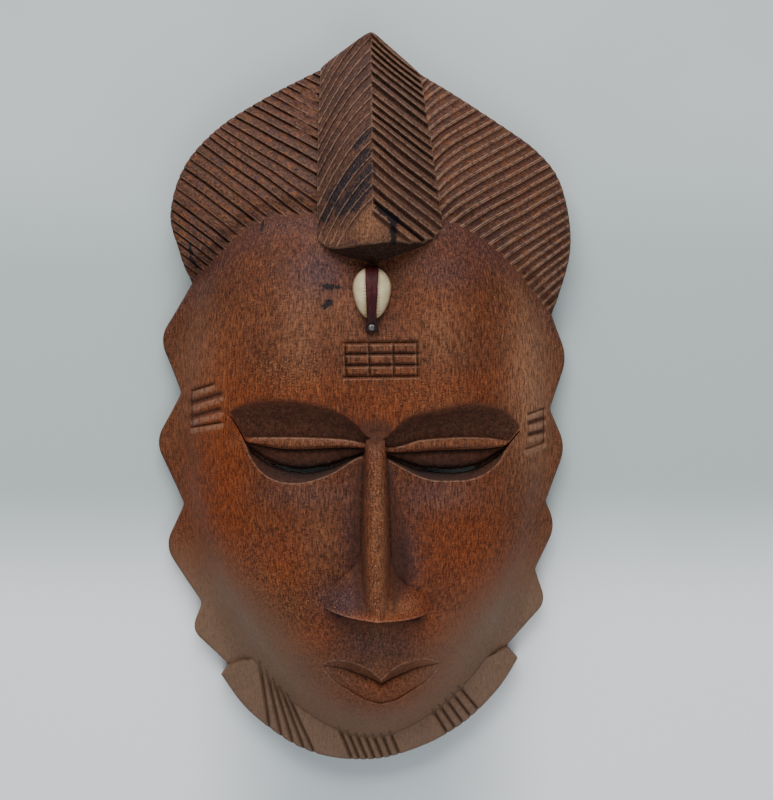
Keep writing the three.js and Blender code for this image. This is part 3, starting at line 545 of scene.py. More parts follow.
def hair_base(x, y):
    q = ((x - HAIR_MIDDLE[0]) / HAIR_REACH[0]) ** 2 + ((y - HAIR_MIDDLE[1]) / HAIR_REACH[1]) ** 2
    return HAIR_EDGE_Z + HAIR_RISE * (1 - np.minimum(q, 1.05))


def wobble(x, y):
    return 0.4 * rumple(x, y, 13, 5)


left_level = through([(-10, 142.5), (-5, 122.2), (0, 98.4), (1, 94.3), (5, 73.5), (9, 52), (14, 33.3)])
left_lean = through([(-10, -0.6), (-5, -0.61), (-2, -0.65), (0, -0.73), (1, -0.77), (14, -0.76)])


def right_line(k, x):
    curl = mix(1.5, 6, smooth_step(-4, 5, k)) * np.exp(-np.maximum(x - 28, -3) / 4.2)
    fan = 0.03 * np.maximum(k - 13, 0) * (x - 60)
    return RIGHT_LINE_Y + RIGHT_LINE_LEAN * (x - RIGHT_LINE_X) - RIGHT_LINE_PITCH * k - curl + fan


# Grooves of a lobe: the line of groove k, the height and darkness at each phase from it to the next, and
# where they are
# The darkness of a groove is dark wax with painted shade under its lip.
LEFT_LOBE = dict(
    line=lambda k, x: left_level(k) + left_lean(k) * (x + 42),
    profile=[
        (0, -1.4, 1.15), (0.12, -1.1, 1), (0.24, -0.5, 0.35), (0.4, -0.2, 0.1), (0.7, -0.05, 0),
        (0.88, 0, 0), (0.94, -0.25, 0.4), (1, -1.4, 1.15),
    ],
    numbers=range(-14, 16),
    span=(-90, -12),
    seed=11,
)
RIGHT_LOBE = dict(
    line=right_line,
    profile=[
        (0, 0, 0), (0.1, -0.15, 0.1), (0.2, -0.05, 0), (0.28, -0.5, 0.5), (0.45, -0.9, 0.5),
        (0.75, -0.75, 0.4), (0.93, -0.2, 0.1), (1, 0, 0),
    ],
    numbers=range(-10, 23),
    span=(19, 92),
    seed=12,
)


def phases(family, x, y):
    """The number of the groove that each point is in, and how far across it from 0 to 1."""
    y = y + wobble(x, y)
    number = np.zeros_like(y)
    phase = np.zeros_like(y)
    upper = family["line"](family["numbers"][0], x)
    for k in family["numbers"]:
        lower = family["line"](k + 1, x)
        here = (y <= upper) & (y > lower)
        number = np.where(here, k, number)
        phase = np.where(here, (upper - y) / (upper - lower), phase)
        upper = lower
    return number, phase


def profile_at(family, number, phase, column):
    """The height (column 1) or darkness (column 2) across a groove."""
    values = np.array(family["profile"]).T
    return np.interp(phase, values[0], values[column]) * (1 + 0.25 * luck(number, family["seed"]))


def chipped(x, y):
    """1 where the left lobe is chipped away, beside the crest."""
    return smooth_step(0.45, 0.75, spot(x, y, -23, 121, 7, 17) + 0.22 * rumple(x, y, 3, 30))


def lobes(x, y, column):
    """The height (column 1) or darkness (column 2) of both lobes' grooves, which fade at the hairline."""
    left, right = [profile_at(lobe, *phases(lobe, x, y), column) for lobe in (LEFT_LOBE, RIGHT_LOBE)]
    rough = (0, -1.1 + 0.8 * rumple(x, y, 1.6, 31), 0.15 + 0.5 * rumple(x, y, 1.6, 33))[column]
    left = mix(left, rough, 0.85 * chipped(x, y))
    fade = smooth_step(0.2, 2.4, y - hairline(x) + rumple(x, y, 5, 32))
    return np.where(x < 5, left, right) * fade


def crest_top(y):
    return hair_base(2, y) + mix(CREST_HEIGHT_END, CREST_HEIGHT_TOP, smooth_step(60, 150, y))


# Grooves of a slope of the crest: where each starts on the ridge, and how far it drops on its way out
# The darkness of a groove is dark wax with painted shade in it.
LEFT_SLOPE = dict(
    edge_x=crest_left_x,
    edge_z=lambda y: hair_base(crest_left_x(y), y) + 2.6,
    drop=lambda d, start: 17 * d + 14 * d * d,
    starts=[
        186, 179.5, 173, 167, 161.6, 156, 150.5, 144.8, 139.2, 133.6, 128.1, 122.6, 116, 109.5, 102.9, 96.6,
        90, 84.7, 79.5, 74.5,
    ],
    profile=[(0, 0, 0), (0.06, -0.25, 0.3), (0.13, -0.6, 0.45), (0.25, -0.5, 0.1), (0.6, -0.2, 0), (1, 0, 0)],
    seed=13,
)
RIGHT_SLOPE = dict(
    edge_x=crest_right_x,
    edge_z=lambda y: hair_base(crest_right_x(y), y) + 0.6,
    drop=lambda d, start: d * mix(20, 15, smooth_step(75, 140, start)),
    starts=[
        170, 152, 149, 145.7, 142.3, 138.7, 134.8, 130.2, 124.6, 120.6, 116.7, 113, 109.4, 104.2, 100,
        95.2, 90.2, 85.2, 80.1, 75, 69.8,
    ],
    profile=[
        (0, 0, 0), (0.07, -0.35, 0.5), (0.2, -1.5, 1), (0.42, -1.75, 1), (0.53, -0.9, 0.45), (0.6, -0.6, 0.1),
        (0.8, -0.3, 0), (0.95, -0.05, 0), (1, 0, 0),
    ],
    seed=14,
)


def slope_phases(slope, x, y, out):
    """Groove number and phase on a slope of the crest, out = 0 on the ridge and 1 at the slope's edge."""
    y = y + wobble(x, y)
    start = y + 17 * out
    for _ in range(5):
        start = y + slope["drop"](out, start)
    falling = -np.array(slope["starts"])
    place = np.interp(-start, falling, np.arange(len(falling)))
    number = np.minimum(np.floor(place), len(falling) - 2)
    return number, place - number, start


def up_slope(slope, x, y):
    """0 at a slope's edge and 1 on the ridge."""
    return np.clip((x - slope["edge_x"](y)) / (ridge_x(y) - slope["edge_x"](y)), 0, 1)


def slope_grooves(slope, x, y, column):
    """The height (column 1) or darkness (column 2) of the grooves of a slope of the crest."""
    number, phase, start = slope_phases(slope, x, y, 1 - up_slope(slope, x, y))
    end = slope["starts"][-1]
    grooved = smooth_step(end, end + 1.2, start) * (smooth_step(64.5, 69, y) if slope is LEFT_SLOPE else 1)
    return profile_at(slope, number, phase, column) * grooved


def slope_z(slope, x, y):
    return mix(slope["edge_z"](y), crest_top(y), up_slope(slope, x, y)) + slope_grooves(slope, x, y, 1)


def crest_end_z(x, y):
    """Height of the steep lower end of the crest, which bulges like a prow."""
    left = x < ridge_x(y)
    side = np.where(left, crest_left_x(y), crest_right_x(y))
    u = np.clip((x - ridge_x(y)) / (side - ridge_x(y)), 0, 1)
    low = mix(CREST_FOOT_Y[0], np.where(left, *CREST_FOOT_Y[1:]), u**3)
    high = mix(CREST_LIP_Y[0], np.where(left, *CREST_LIP_Y[1:]), u) + CREST_BULGE * np.sin(np.pi * u)
    return -1 + CREST_END_RISE * (y - low) / (high - low)


def roof_z(x, y):
    roof = np.where(x < ridge_x(y), slope_z(LEFT_SLOPE, x, y), slope_z(RIGHT_SLOPE, x, y))
    beyond = np.maximum(crest_left_x(y) - x, 0) + np.maximum(x - crest_right_x(y), 0)
    return roof - 12 * beyond + 0.12 * rumple(x, y, 4, 7)


def crest_z(x, y):
    return smooth_min(roof_z(x, y), crest_end_z(x, y), 0.8)


# The collar
COLLAR_GROUPS = [(-43.4, 2.9, 5, 0.13, 0.44), (-9.8, 3.55, 7, 0.4, 0.4), (29.7, 2.75, 5, 0.6, 0.8)]


def jaw_y(x, radius=1.0):
    """The lower edge of the face's egg, or of one that many times its size."""
    across = np.clip(np.abs((x - JAW_X) / FACE_HALF_WIDTH / radius), 0, 0.999)
    return FACE_WIDEST_Y - radius * FACE_BOTTOM * (1 - across**LOWER_POWER) ** (1 / LOWER_POWER)


def collar_grooves():
    """(x, y) at the jaw, and lean, for each groove of the collar."""
    for start, pitch, count, first_lean, last_lean in COLLAR_GROUPS:
        for i in range(count):
            x = start + i * pitch
            yield x, float(jaw_y(x)), mix(first_lean, last_lean, i / (count - 1))


def groove_off(distance, half, depth, power=1.3):
    """Height of a groove with soft lips at that distance from its middle."""
    return -depth * np.clip(1 - np.abs(distance) / half, 0, 1) ** power


def collar_z(x, y):
    radius = egg_radius(x, y)
    z = np.interp(radius, [0.86, 0.99, 1.06, 1.2], [COLLAR_Z, COLLAR_Z + 0.6, COLLAR_Z, COLLAR_Z - 3.5])
    for x0, y0, lean in collar_grooves():
        away = (x - x0 + lean * (y - y0)) / math.hypot(1, lean)
        z = z + groove_off(away, 1.1, 1.4)
    left_end = (y - COLLAR_START[1]) - 0.36 * (x - COLLAR_START[0])
    right_end = (y - COLLAR_STOP[1]) + 0.43 * (COLLAR_STOP[0] - x)
    above = np.where(x < 0, left_end, right_end)
    z = z + 0.15 * rumple(x, y, 6, 8)
    return np.where(y < -95, z - 14 * np.maximum(above, 0), FAR_BELOW)


# Marks cut into the forehead and the temples
FOREHEAD_ROWS = [(24, 0.3), (19.6, 0.8), (15.1, 0.8), (10.6, 0.5)]  # y and darkness
FOREHEAD_COLUMNS = [(-6.4, 0.1), (3, 0.45), (12.6, 0.45), (22, 0.1)]  # x and darkness
TEMPLE_CUTS = [  # from, to, half width and darkness
    (-70.8, 5.2, -61, 7.8, 1.1, 0.5), (-71, 0.2, -57.6, 3.8, 1.7, 0.75), (-71, -5.7, -57.8, -2.3, 1.7, 0.7),
    (-71, -10, -57.4, -7.8, 1.0, 0.5), (68.3, -4.3, 75.6, -2.2, 1.0, 0.5), (68.7, -8, 75.6, -6.3, 1.5, 0.8),
    (68.7, -12.8, 75.6, -11.5, 1.5, 0.8), (67.2, -18.7, 75.6, -16.4, 1.1, 0.4),
    (-71.1, 4.4, -70.9, -10.2, 0.6, 0.5), (75.6, -2.2, 75.6, -16.3, 0.6, 0.4),
]
MARKS = (
    [((-6.6, y), (22.2, y + 0.3), 1.15, 1.4, dark) for y, dark in FOREHEAD_ROWS]
    + [((x, 23.6), (x + 0.3, 11), 0.7, 1.1, dark) for x, dark in FOREHEAD_COLUMNS]
    + [((x0, y0), (x1, y1), half, 1.3, dark) for x0, y0, x1, y1, half, dark in TEMPLE_CUTS]
)


def marks(x, y, column):
    """The height (column 1) or darkness (column 2) of the marks."""
    out = np.zeros_like(x)
    # The darkness is dark wax with painted shade in the cuts.
    for (x0, y0), (x1, y1), half, depth, dark in MARKS:
        span = np.array([x1 - x0, y1 - y0])
        t = np.clip(((x - x0) * span[0] + (y - y0) * span[1]) / (span**2).sum(), 0, 1)
        away = np.hypot(x - x0 - t * span[0], y - y0 - t * span[1])
        if column == 1:
            out = np.minimum(out, groove_off(away, half, depth, 1.5))
        else:
            out = np.maximum(out, dark * np.clip(1.4 - 1.3 * away / half, 0, 1))
    return out


def front_z(x, y):
    """Height of the front of the mask, before its edge is rounded off."""
    face = face_z(x, y) + marks(x, y, 1)
    from_nail = np.hypot(x - FEATURE_X, y - NAIL_Y)
    pocket = (NAIL_LENGTH - 0.6) * smooth_step(NAIL_SHANK + GAP, NAIL_SHANK + 0.2, from_nail)
    collar = smooth_max(face - pocket, collar_z(x, y), 0.3)
    hair = np.maximum(collar, hair_base(x, y) + 0.2 * rumple(x, y, 7, 6))
    hair = mix(collar, hair, smooth_step(-1.5, 9, y - hairline(x))) + lobes(x, y, 1)
    return smooth_max(hair, crest_z(x, y), 0.3)


outline = mask_outline()
closed_outline = closed(outline)


def rounded_off(loop, x, y, radius):
    """How much a rounded edge takes off near a closed line."""
    d = np.minimum(distance_to(loop, x, y), radius)
    return radius - np.sqrt(radius**2 - (radius - d) ** 2)


def back_z(x, y):
    """Height of the back: flat, with the hollow behind the face and the hole for a wall nail."""
    v = (y - HOLLOW_Y) / np.where(y > HOLLOW_Y, HOLLOW_UP, HOLLOW_DOWN)
    u = (x - egg_x(y) - 1) / (HOLLOW_HALF_WIDTH * (1 - HOLLOW_TAPER * v * v))
    out = np.minimum(np.hypot(u, v), 1)
    hollow = HOLLOW_DEPTH * (1 - out ** (8 / 3)) ** 0.45
    gouging = 0.5 * rumple(x, y * 0.5, 5, 9) * smooth_step(0, 6, hollow)
    hole_x, hole_y, radius, depth = HANGING_HOLE
    hole = depth * smooth_step(radius, radius - 0.2, np.hypot(x - hole_x, y - hole_y))
    return np.maximum(hollow + gouging, 0) + hole


# Lines that the mesh has to follow
def slit_loop(side, eye):
    s = np.linspace(SLIT_INNER, SLIT_OUTER, 26)
    x = float(nose_line(-28)) + side * s
    middle = eye["slit"](s)
    reach = (SLIT_OUTER - SLIT_INNER) / 2
    half = (SLIT_HALF - 0.08) * (1.02 - ((s - SLIT_INNER - reach) / reach) ** 4)
    upper = columns(x, middle + half)
    lower = columns(x, middle - half)
    return np.vstack([lower, upper[::-1]]) if side > 0 else np.vstack([upper, lower[::-1]])


def clipped(line, keep):
    """The stretches of a line where keep(x, y) is positive, cut close to where it changes."""
    value = keep(line[:, 0], line[:, 1])
    stretches = [[]]
    for i in range(len(line)):
        if i and (value[i] > 0) != (value[i - 1] > 0):
            stretches[-1].append(mix(line[i - 1], line[i], value[i - 1] / (value[i - 1] - value[i])))
        if value[i] > 0:
            stretches[-1].append(line[i])
        elif stretches[-1]:
            stretches.append([])
    return [np.array(stretch) for stretch in stretches if len(stretch) > 1]


def in_lobe(x, y):
    beside = np.maximum(crest_left_x(y) - 0.35 - x, x - crest_right_x(y) - 0.15)
    return np.minimum(beside, y - hairline(x) - 0.2)


def lobe_lines(family, phase):
    """The lines at one phase of every groove of a lobe."""
    x = np.arange(family["span"][0], family["span"][1], 1.1)
    for k in family["numbers"]:
        level = y = mix(family["line"](k, x), family["line"](k + 1, x), phase)
        for _ in range(4):
            y = level - wobble(x, y)
        yield from clipped(columns(x, y), in_lobe)


def on_roof(x, y):
    across = np.minimum(x - crest_left_x(y), crest_right_x(y) - x)
    return np.minimum(across, crest_end_z(x, y) - roof_z(x, y))


def slope_lines(slope, phase):
    """The lines at one phase of every groove of a slope of the crest."""
    t = np.linspace(0.01, 0.985, 26)
    starts = slope["starts"]
    for upper, lower in zip(starts[:-1], starts[1:]):
        start = mix(upper, lower, phase)
        level = y = start - slope["drop"](1 - t, start)
        for _ in range(4):
            x = mix(slope["edge_x"](y), ridge_x(y), t)
            y = level - wobble(x, y)
        yield from clipped(columns(x, y), on_roof)


def crossing(higher, lower, x, start, stop):
    """For each x, the y between start and stop where higher(x, y) rises over lower(x, y)."""
    a = np.full_like(x, start)
    b = np.full_like(x, stop)
    for _ in range(30):
        middle = (a + b) / 2
        above = higher(x, middle) > lower(x, middle)
        b = np.where(above, middle, b)
        a = np.where(above, a, middle)
    return (a + b) / 2


def crest_edge_lines(edge, shifts, low=62):
    y = np.arange(low, 154, 0.9)
    for shift in shifts:
        yield columns(edge(y) + shift, y)


def crest_end_lines(parts):
    """Lines across the end of the crest, from its foot on the face (0) to its upper edge (1)."""
    x = np.linspace(-17.6, 33.6, 70)
    foot = crossing(crest_end_z, lambda x, y: np.maximum(face_z(x, y), 0), x, 42.0, 75.0)
    top = crossing(crest_end_z, roof_z, x, 46.0, 80.0)
    for t in parts:
        yield columns(x, mix(foot, top, t))


def on_both_sides(s, left_y, right_y):
    """Two lines over the distance s out from the nose, one to its left and one to its right."""
    yield columns(nose_line(left_y) - s, left_y)
    yield columns(nose_line(right_y) + s, right_y)


def eye_lines(pick=None, start=0.0, stop=EYE_END + 0.5):
    s = np.arange(start, stop, 0.75)
    rows = zip(eye_rows(s, LEFT_EYE), eye_rows(s, RIGHT_EYE))
    for i, (left, right) in enumerate(rows):
        if pick is None or i in pick:
            yield from on_both_sides(s, left[0], right[0])


def mouth_lines(pick=None):
    s = np.linspace(0, MOUTH_HALF_WIDTH, 34)
    for i, row in enumerate(mouth_rows(s)):
        if pick is None or i in pick:
            yield from on_both_sides(s, row[0], row[0])


def nose_base_lines(rises):
    s = np.linspace(0, WING_END - 0.5, 30)
    for rise in rises:
        yield from on_both_sides(s, nose_base(s, False) + rise, nose_base(s, True) + rise)


def nose_lines():
    yield from nose_base_lines((1.4, 0.8, 0.45, 0.12, 0, -0.12, -0.4, -0.8, -1.6))
    y = np.arange(-83, NOSE_TOP, 0.9)
    for side in (-1, 1):
        for part in (0, 0.35, 0.6, 0.8, 0.92, 1.0, 1.1, 1.25, 1.5):
            yield columns(nose_line(y) + side * part * nose_half(y), y)
    y = np.arange(-81.6, WING_START, 0.6)
    for right in (False, True):
        for shift in (-0.8, -0.35, -0.1, 0, 0.35, 0.8):
            away = wing_width(y, right) + shift
            yield columns(nose_line(y) + (away if right else -away), y)


def collar_centres():
    for x0, y0, lean in collar_grooves():
        y = np.arange(y0 + 1, y0 - 28, -1.0)
        yield columns(x0 - lean * (y - y0), y)


def collar_lines():
    x = np.linspace(-52, 58, 110)
    for radius in (0.985, 1.0, 1.01, 1.02, 1.035):
        yield columns(x, jaw_y(x, radius))
    for centre in collar_centres():
        for shift in (-1.1, -0.5, 0, 0.5, 1.1):
            yield centre + (shift, 0)
    t = np.linspace(0, 1, 12)[:, None]
    for start, end in ((COLLAR_START, (-42, -106)), (COLLAR_STOP, (47, -109.3))):
        for drop in (0.4, 0, -0.6):
            yield mix(np.array(start, float), np.array(end, float), t) + (0, drop)


def mark_lines(shifts):
    for (x0, y0), (x1, y1), half, _, _ in MARKS:
        span = np.array([x1 - x0, y1 - y0])
        side = np.array([-span[1], span[0]]) / np.linalg.norm(span)
        t = np.linspace(-0.02, 1.02, max(int(np.linalg.norm(span) * 1.5), 4))[:, None]
        for shift in shifts:
            yield np.array([x0, y0]) + span * t + side * half * shift


def around(sides):
    """That many angles, evenly spaced round a circle."""
    return np.linspace(0, 2 * np.pi, sides + 1)[:-1]


def circle(x, y, radius, sides):
    turn = around(sides)
    return columns(x + radius * np.cos(turn), y + radius * np.sin(turn))


def circle_lines(x, y, radii):
    return [closed(circle(x, y, radius, 40)) for radius in radii]


def jaw_lines(drops):
    """The crisp line where the face meets the collar."""
    x = np.linspace(-50, 56, 120)
    middle = jaw_y(x)
    y = crossing(face_z, collar_z, x, middle - 9, middle + 9)
    for drop in drops:
        yield columns(x, y + drop)


def fill_points(spacing, keep):
    """Points in staggered rows over the whole mask where keep(x, y) is true."""
    ys = np.arange(-154, 154, spacing * 0.866)
    points = []
    for i, y in enumerate(ys):
        xs = np.arange(-90, 90, spacing) + (spacing / 2 if i % 2 else 0)
        points.append(columns(xs, np.full_like(xs, y)))
    points = np.vstack(points)
    return points[keep(points[:, 0], points[:, 1])]


def tree_of(points):
    tree = kdtree.KDTree(len(points))
    for i, (x, y) in enumerate(points):
        tree.insert((x, y, 0), i)
    tree.balance()
    return tree


def far_from(points, others, distance):
    """The points that lie at least that far from all the others."""
    tree = tree_of(others)
    return np.array([p for p in points if tree.find((p[0], p[1], 0))[2] > distance])


def triangulated(lines, loops, loose):
    """Triangles over the area inside the first loop and outside the others, with edges along every line."""
    points = []
    edges = []
    for line, is_loop in [(loop, True) for loop in loops] + [(line, False) for line in lines]:
        first = len(points)
        points.extend(map(tuple, line))
        edges.extend((first + i, first + i + 1) for i in range(len(line) - 1))
        if is_loop:
            edges.append((first + len(line) - 1, first))
    points.extend(map(tuple, loose))
    flat, _, faces, *_ = delaunay_2d_cdt(points, edges, [], 0, 1e-4, False)
    flat = np.array([tuple(v) for v in flat])
    faces = np.array(faces)
    middle = flat[faces].mean(1)
    keep = inside(loops[0], middle[:, 0], middle[:, 1])
    for loop in loops[1:]:
        keep &= ~inside(loop, middle[:, 0], middle[:, 1])
    return flat, faces[keep]


def boundary_loops(faces):
    """Closed chains of vertices along the open edges, each in the direction of its faces."""
    edges = np.vstack([faces[:, [0, 1]], faces[:, [1, 2]], faces[:, [2, 0]]])
    present = set(map(tuple, edges))
    following = {a: b for a, b in present if (b, a) not in present}
    loops = []
    while following:
        start, at = following.popitem()
        loop = [start]
        while at != start:
            loop.append(at)
            at = following.pop(at)
        loops.append(loop)
    return loops


def hair_zone(x, y):
    return (y > hairline(x)) | (between_crest_edges(x, y) & (y > 53))


def front_mesh():
    """Points and triangles of the carved front."""
    lines = [
        *eye_lines(), *mouth_lines(), *nose_lines(), *mark_lines((-1, -0.45, 0, 0.45, 1)),
        *crest_edge_lines(crest_left_x, (-0.3, 0, 0.5)), *crest_edge_lines(crest_right_x, (-0.5, 0, 0.12)),
        *crest_edge_lines(ridge_x, (-0.6, 0, 0.6)), *collar_lines(),
        *crest_end_lines((-0.06, 0, 0.08, 0.25, 0.45, 0.65, 0.8, 0.92, 0.97, 1, 1.04, 1.1)),
        *jaw_lines((0.5, 0.15, 0, -0.15, -0.5, -1.2)), *circle_lines(FEATURE_X, NAIL_Y, (0.9, 0.95, 1.0)),
    ]
    for grooved in (LEFT_LOBE, RIGHT_LOBE, LEFT_SLOPE, RIGHT_SLOPE):
        groove_lines = slope_lines if "starts" in grooved else lobe_lines
        for phase, *_ in grooved["profile"][:-1]:
            lines += groove_lines(grooved, phase)
    lines += [closed(inset(outline, d)) for d in (0.12, 0.4, 0.85, 1.3, 1.6)]
    slits = [slit_loop(-1, LEFT_EYE), slit_loop(1, RIGHT_EYE)]
    loose = fill_points(FACE_SPACING, lambda x, y: ~hair_zone(x, y) & inside(outline, x, y))
    wide = fill_points(HAIR_SPACING, lambda x, y: hair_zone(x, y) & inside(outline, x, y))
    loose = far_from(np.vstack([loose, wide]), np.vstack([outline, *slits, *lines]), 0.55)
    flat, faces = triangulated(lines, [outline, *slits], loose)
    z = front_z(*flat.T) - rounded_off(closed_outline, *flat.T, EDGE_ROUNDING)
    return columns(flat, z), faces


def used_only(points, faces):
    """The same mesh without the points that no triangle has."""
    used, again = np.unique(faces, return_inverse=True)
    return points[used], again.reshape(faces.shape)


def back_mesh(loops):
    """Points and triangles of the back, facing down, inside the same edge loops as the front."""
    hole_x, hole_y, radius, _ = HANGING_HOLE
    circles = circle_lines(hole_x, hole_y, (radius - 0.2, radius - 0.1, radius, radius + 0.4))
    edge = np.linspace(0, 2 * np.pi, 161)
    rims = []
    for out in (0.8, 0.9, 0.96, 0.99, 1.0, 1.012):
        v = out * np.sin(edge)
        y = HOLLOW_Y + v * np.where(v > 0, HOLLOW_UP, HOLLOW_DOWN)
        x = egg_x(y) + 1 + out * np.cos(edge) * HOLLOW_HALF_WIDTH * (1 - HOLLOW_TAPER * v * v)
        rims.append(columns(x, y))
    lines = circles + rims + [closed(inset(outline, d)) for d in (0.15, 0.5, 1.0)]
    loose = fill_points(BACK_SPACING, lambda x, y: inside(outline, x, y))
    loose = far_from(loose, np.vstack([*loops, *lines]), 0.9)
    flat, faces = triangulated(lines, loops, loose)
    z = back_z(*flat.T) + rounded_off(closed_outline, *flat.T, BACK_ROUNDING)
    return columns(flat, z), faces[:, ::-1]


def whole_mesh():
    """Points and triangles of the mask: the front, the back, and walls between their edges."""
    front, front_faces = used_only(*front_mesh())
    loops = sorted(boundary_loops(front_faces), key=len, reverse=True)
    back, back_faces = used_only(*back_mesh([front[loop][:, :2] for loop in loops]))
    tree = tree_of(back[:, :2])
    points = [front, back]
    faces = [front_faces, back_faces + len(front)]
    count = len(front) + len(back)
    for loop, steps in zip(loops, (7, 4, 4)):
        high = np.array(loop)
        low = np.array([tree.find((x, y, 0))[1] for x, y, _ in front[high]]) + len(front)
        rows = [high]
        for t in np.arange(1, steps) / steps:
            row = mix(front[high], back[low - len(front)], t)
            row[:, :2] = front[high][:, :2]
            row[:, 0] += 0.12 * rumple(row[:, 1], row[:, 2] * 1.5, 4, 21) * np.sin(np.pi * t)
            points.append(row)
            rows.append(np.arange(count, count + len(high)))
            count += len(high)
        rows.append(low)
        for upper, lower in zip(rows[:-1], rows[1:]):
            upper_next, lower_next = np.roll(upper, -1), np.roll(lower, -1)
            faces.append(columns(upper, lower, upper_next))
            faces.append(columns(upper_next, lower, lower_next))
    return np.vstack(points), np.vstack(faces), len(front)


def new_object(name, data):
    made = bpy.data.objects.new(name, data)
    bpy.context.scene.collection.objects.link(made)
    return made


def new_piece(name, points, faces, sharp_angle=None):
    """A smooth-shaded mesh object from points in millimetres, with sharp edges over an angle."""
    mesh = bpy.data.meshes.new(name)
    mesh.from_pydata((np.asarray(points) * MM).tolist(), [], [tuple(map(int, face)) for face in faces])
    mesh.update()
    mesh.shade_smooth()
    if sharp_angle:
        mesh.set_sharp_from_angle(angle=math.radians(sharp_angle))
    return new_object(name, mesh)


def store(piece, name, values):
    """Keeps one number for each vertex, for the material to read."""
    attribute = piece.data.attributes.new(name, "FLOAT", "POINT")
    attribute.data.foreach_set("value", np.asarray(values, np.float32))


# Where the stain is worn or dirty, with painted highlight along edges that face the light and painted shade
# in creases
def worn_and_highlight_lines():
    """Lines worn to bare wood, partly painted highlight along edges that face the light, in groups of how
    light and how wide they are.
    """
    return [
        (0.3, 0.35, lobe_lines(LEFT_LOBE, 0.88)),
        (0.6, 0.36, lobe_lines(RIGHT_LOBE, 0)),
        (0.4, 0.3, lobe_lines(RIGHT_LOBE, 0.2)),
        (0.55, 0.36, slope_lines(LEFT_SLOPE, 0)),
        (0.6, 0.4, slope_lines(RIGHT_SLOPE, 0)),
        (0.18, 0.6, crest_edge_lines(ridge_x, (0,), 72)),
        (0.35, 0.35, [*crest_edge_lines(crest_left_x, (0,), 69), *crest_edge_lines(crest_right_x, (0,), 75)]),
        (0.25, 0.6, crest_end_lines((1,))),
        (0.38, 0.4, eye_lines((8,), 8, 50)),
        (0.42, 0.35, eye_lines((21,), 5.5, 53)),
        (0.28, 0.35, nose_base_lines((0.45,))),
        (0.25, 0.4, mouth_lines((0, 10))),
        (0.3, 0.4, [*mark_lines((-1,))][:8]),
        (0.35, 1.6, [*mark_lines((-1.4,))][8:16]),
    ]


def dirt_and_shade_lines():
    """Lines filled with dark wax, partly painted shade under the lids, in the slits and the mouth, along the
    jaw and in the collar's grooves, in groups of how dark and how wide they are.
    """
    return [
        (0.9, 0.5, eye_lines((12, 17), 6, 51)),
        (0.6, 0.45, mouth_lines((4,))),
        (0.3, 0.6, jaw_lines((0,))),
        (0.42, 0.8, collar_centres()),
    ]


def nearest_line(groups, x, y):
    """For each point, the distance to the nearest line over the line's width, and that line's strength."""
    ratio = np.full(len(x), FAR_AWAY)
    strength = np.zeros(len(x))
    for gain, width, lines in groups:
        tree = tree_of(np.vstack([respaced(line, 0.3) for line in lines]))
        away = np.array([tree.find((px, py, 0))[2] for px, py in zip(x, y)]) / width
        strength = np.where(away < ratio, gain, strength)
        ratio = np.minimum(ratio, away)
    return np.minimum(ratio, FAR_AWAY), strength


# How far the dark wax and painted shade beside the nose reach from its foot, against y
nose_band = two_sided(
    [(-84, 0.5), (-79, 2.6), (-66, 4.6), (-58, 5), (-38, 4.3), (-14, 2.2)],
    [(-84, 2), (-78, 3.6), (-74, 5.5), (-69, 8), (-50, 8.2), (-41, 4.6), (-14, 2.2)],
)


def nose_darkness(x, y):
    """Dark wax and painted shade beside the nose, on its flanks, at its root and in the hollows of its wings,
    and a painted shadow under it.
    """
    s, right = from_nose(x, y)
    half = nose_half(y)
    band = half + nose_band(y, right)
    beside = np.where(right, 0.72, 0.75) * smooth_step(band + 1.4, band - 2.4, s)
    # A painted shadow where the tube of the nose meets the face.
    contact = 1.05 * smooth_step(half + 1.7, half + 0.5, s) * smooth_step(-74, -60, y)
    flank = np.where(right, 0.3, 0.6) * smooth_step(0.35, 1.0, s / half)
    out = np.where(s > half, np.maximum(beside, contact), flank)
    out = out * smooth_step(-14, -20, y) * smooth_step(-84.5, -80, y)
    tip = 0.7 * spot(x, y, 28, -79, 2.5, 4) * (s > wing_width(y, right)) + 0.3 * spot(x, y, -8, -76, 9, 6)
    top = 0.75 * smooth_step(-20, -15, y) * (s < half) * (y < NOSE_TOP + 1)
    # A painted shadow under the lower edge of the nose, darkest right under it.
    below = nose_base(s, right) - y
    shown = np.maximum(below - 2.6, 0)
    deep = np.maximum(1.2 * np.exp(-shown / 1.6), 0.8 * np.exp(-shown / 4.5))
    deep = np.where(below < 0.3, 0.8, deep)
    is_under = below > -0.05
    under = deep * is_under * smooth_step(21.5, 16, s)
    return np.maximum(np.maximum(out, tip) * ~is_under, np.maximum(top, under))


def on_crest(x, y):
    return between_crest_edges(x, y) & (crest_z(x, y) > face_z(x, y))


def darkness(x, y):
    """How dark each point of the front is: dark wax and dust, with painted shade in its hollows and grooves,
    under the nose and on the end of the crest.
    """
    s, _ = from_nose(x, y)
    bridge = 0.9 * smooth_step(10, 2, s) * smooth_step(-3, -10, y) * smooth_step(-17.5, -14.5, y)
    eye = np.maximum(eyes(x, y, 2) * smooth_step(-2, 5, s), bridge)
    mouth = along_rows(mouth_rows(s), y, 2) * smooth_step(22, 10, s)
    off_nose = nose_z(x, y) < eyes(x, y, 1)
    carved = np.maximum(np.maximum(eye * off_nose, nose_darkness(x, y)) + mouth, 1.3 * marks(x, y, 2))
    # The steep end of the crest faces away from the light: painted shade, with some darker stain.
    end = np.clip((roof_z(x, y) - crest_end_z(x, y)) / 1.2, 0, 1)
    left, right = [slope_grooves(slope, x, y, 2) for slope in (LEFT_SLOPE, RIGHT_SLOPE)]
    crest = np.maximum(np.where(x < ridge_x(y), left, right), 1.12 * end)
    hair = np.where(y > hairline(x) - 1, lobes(x, y, 2), 0)
    return np.clip(np.where(on_crest(x, y), crest, np.maximum(carved * (y < 60), hair)), 0, 1.3)


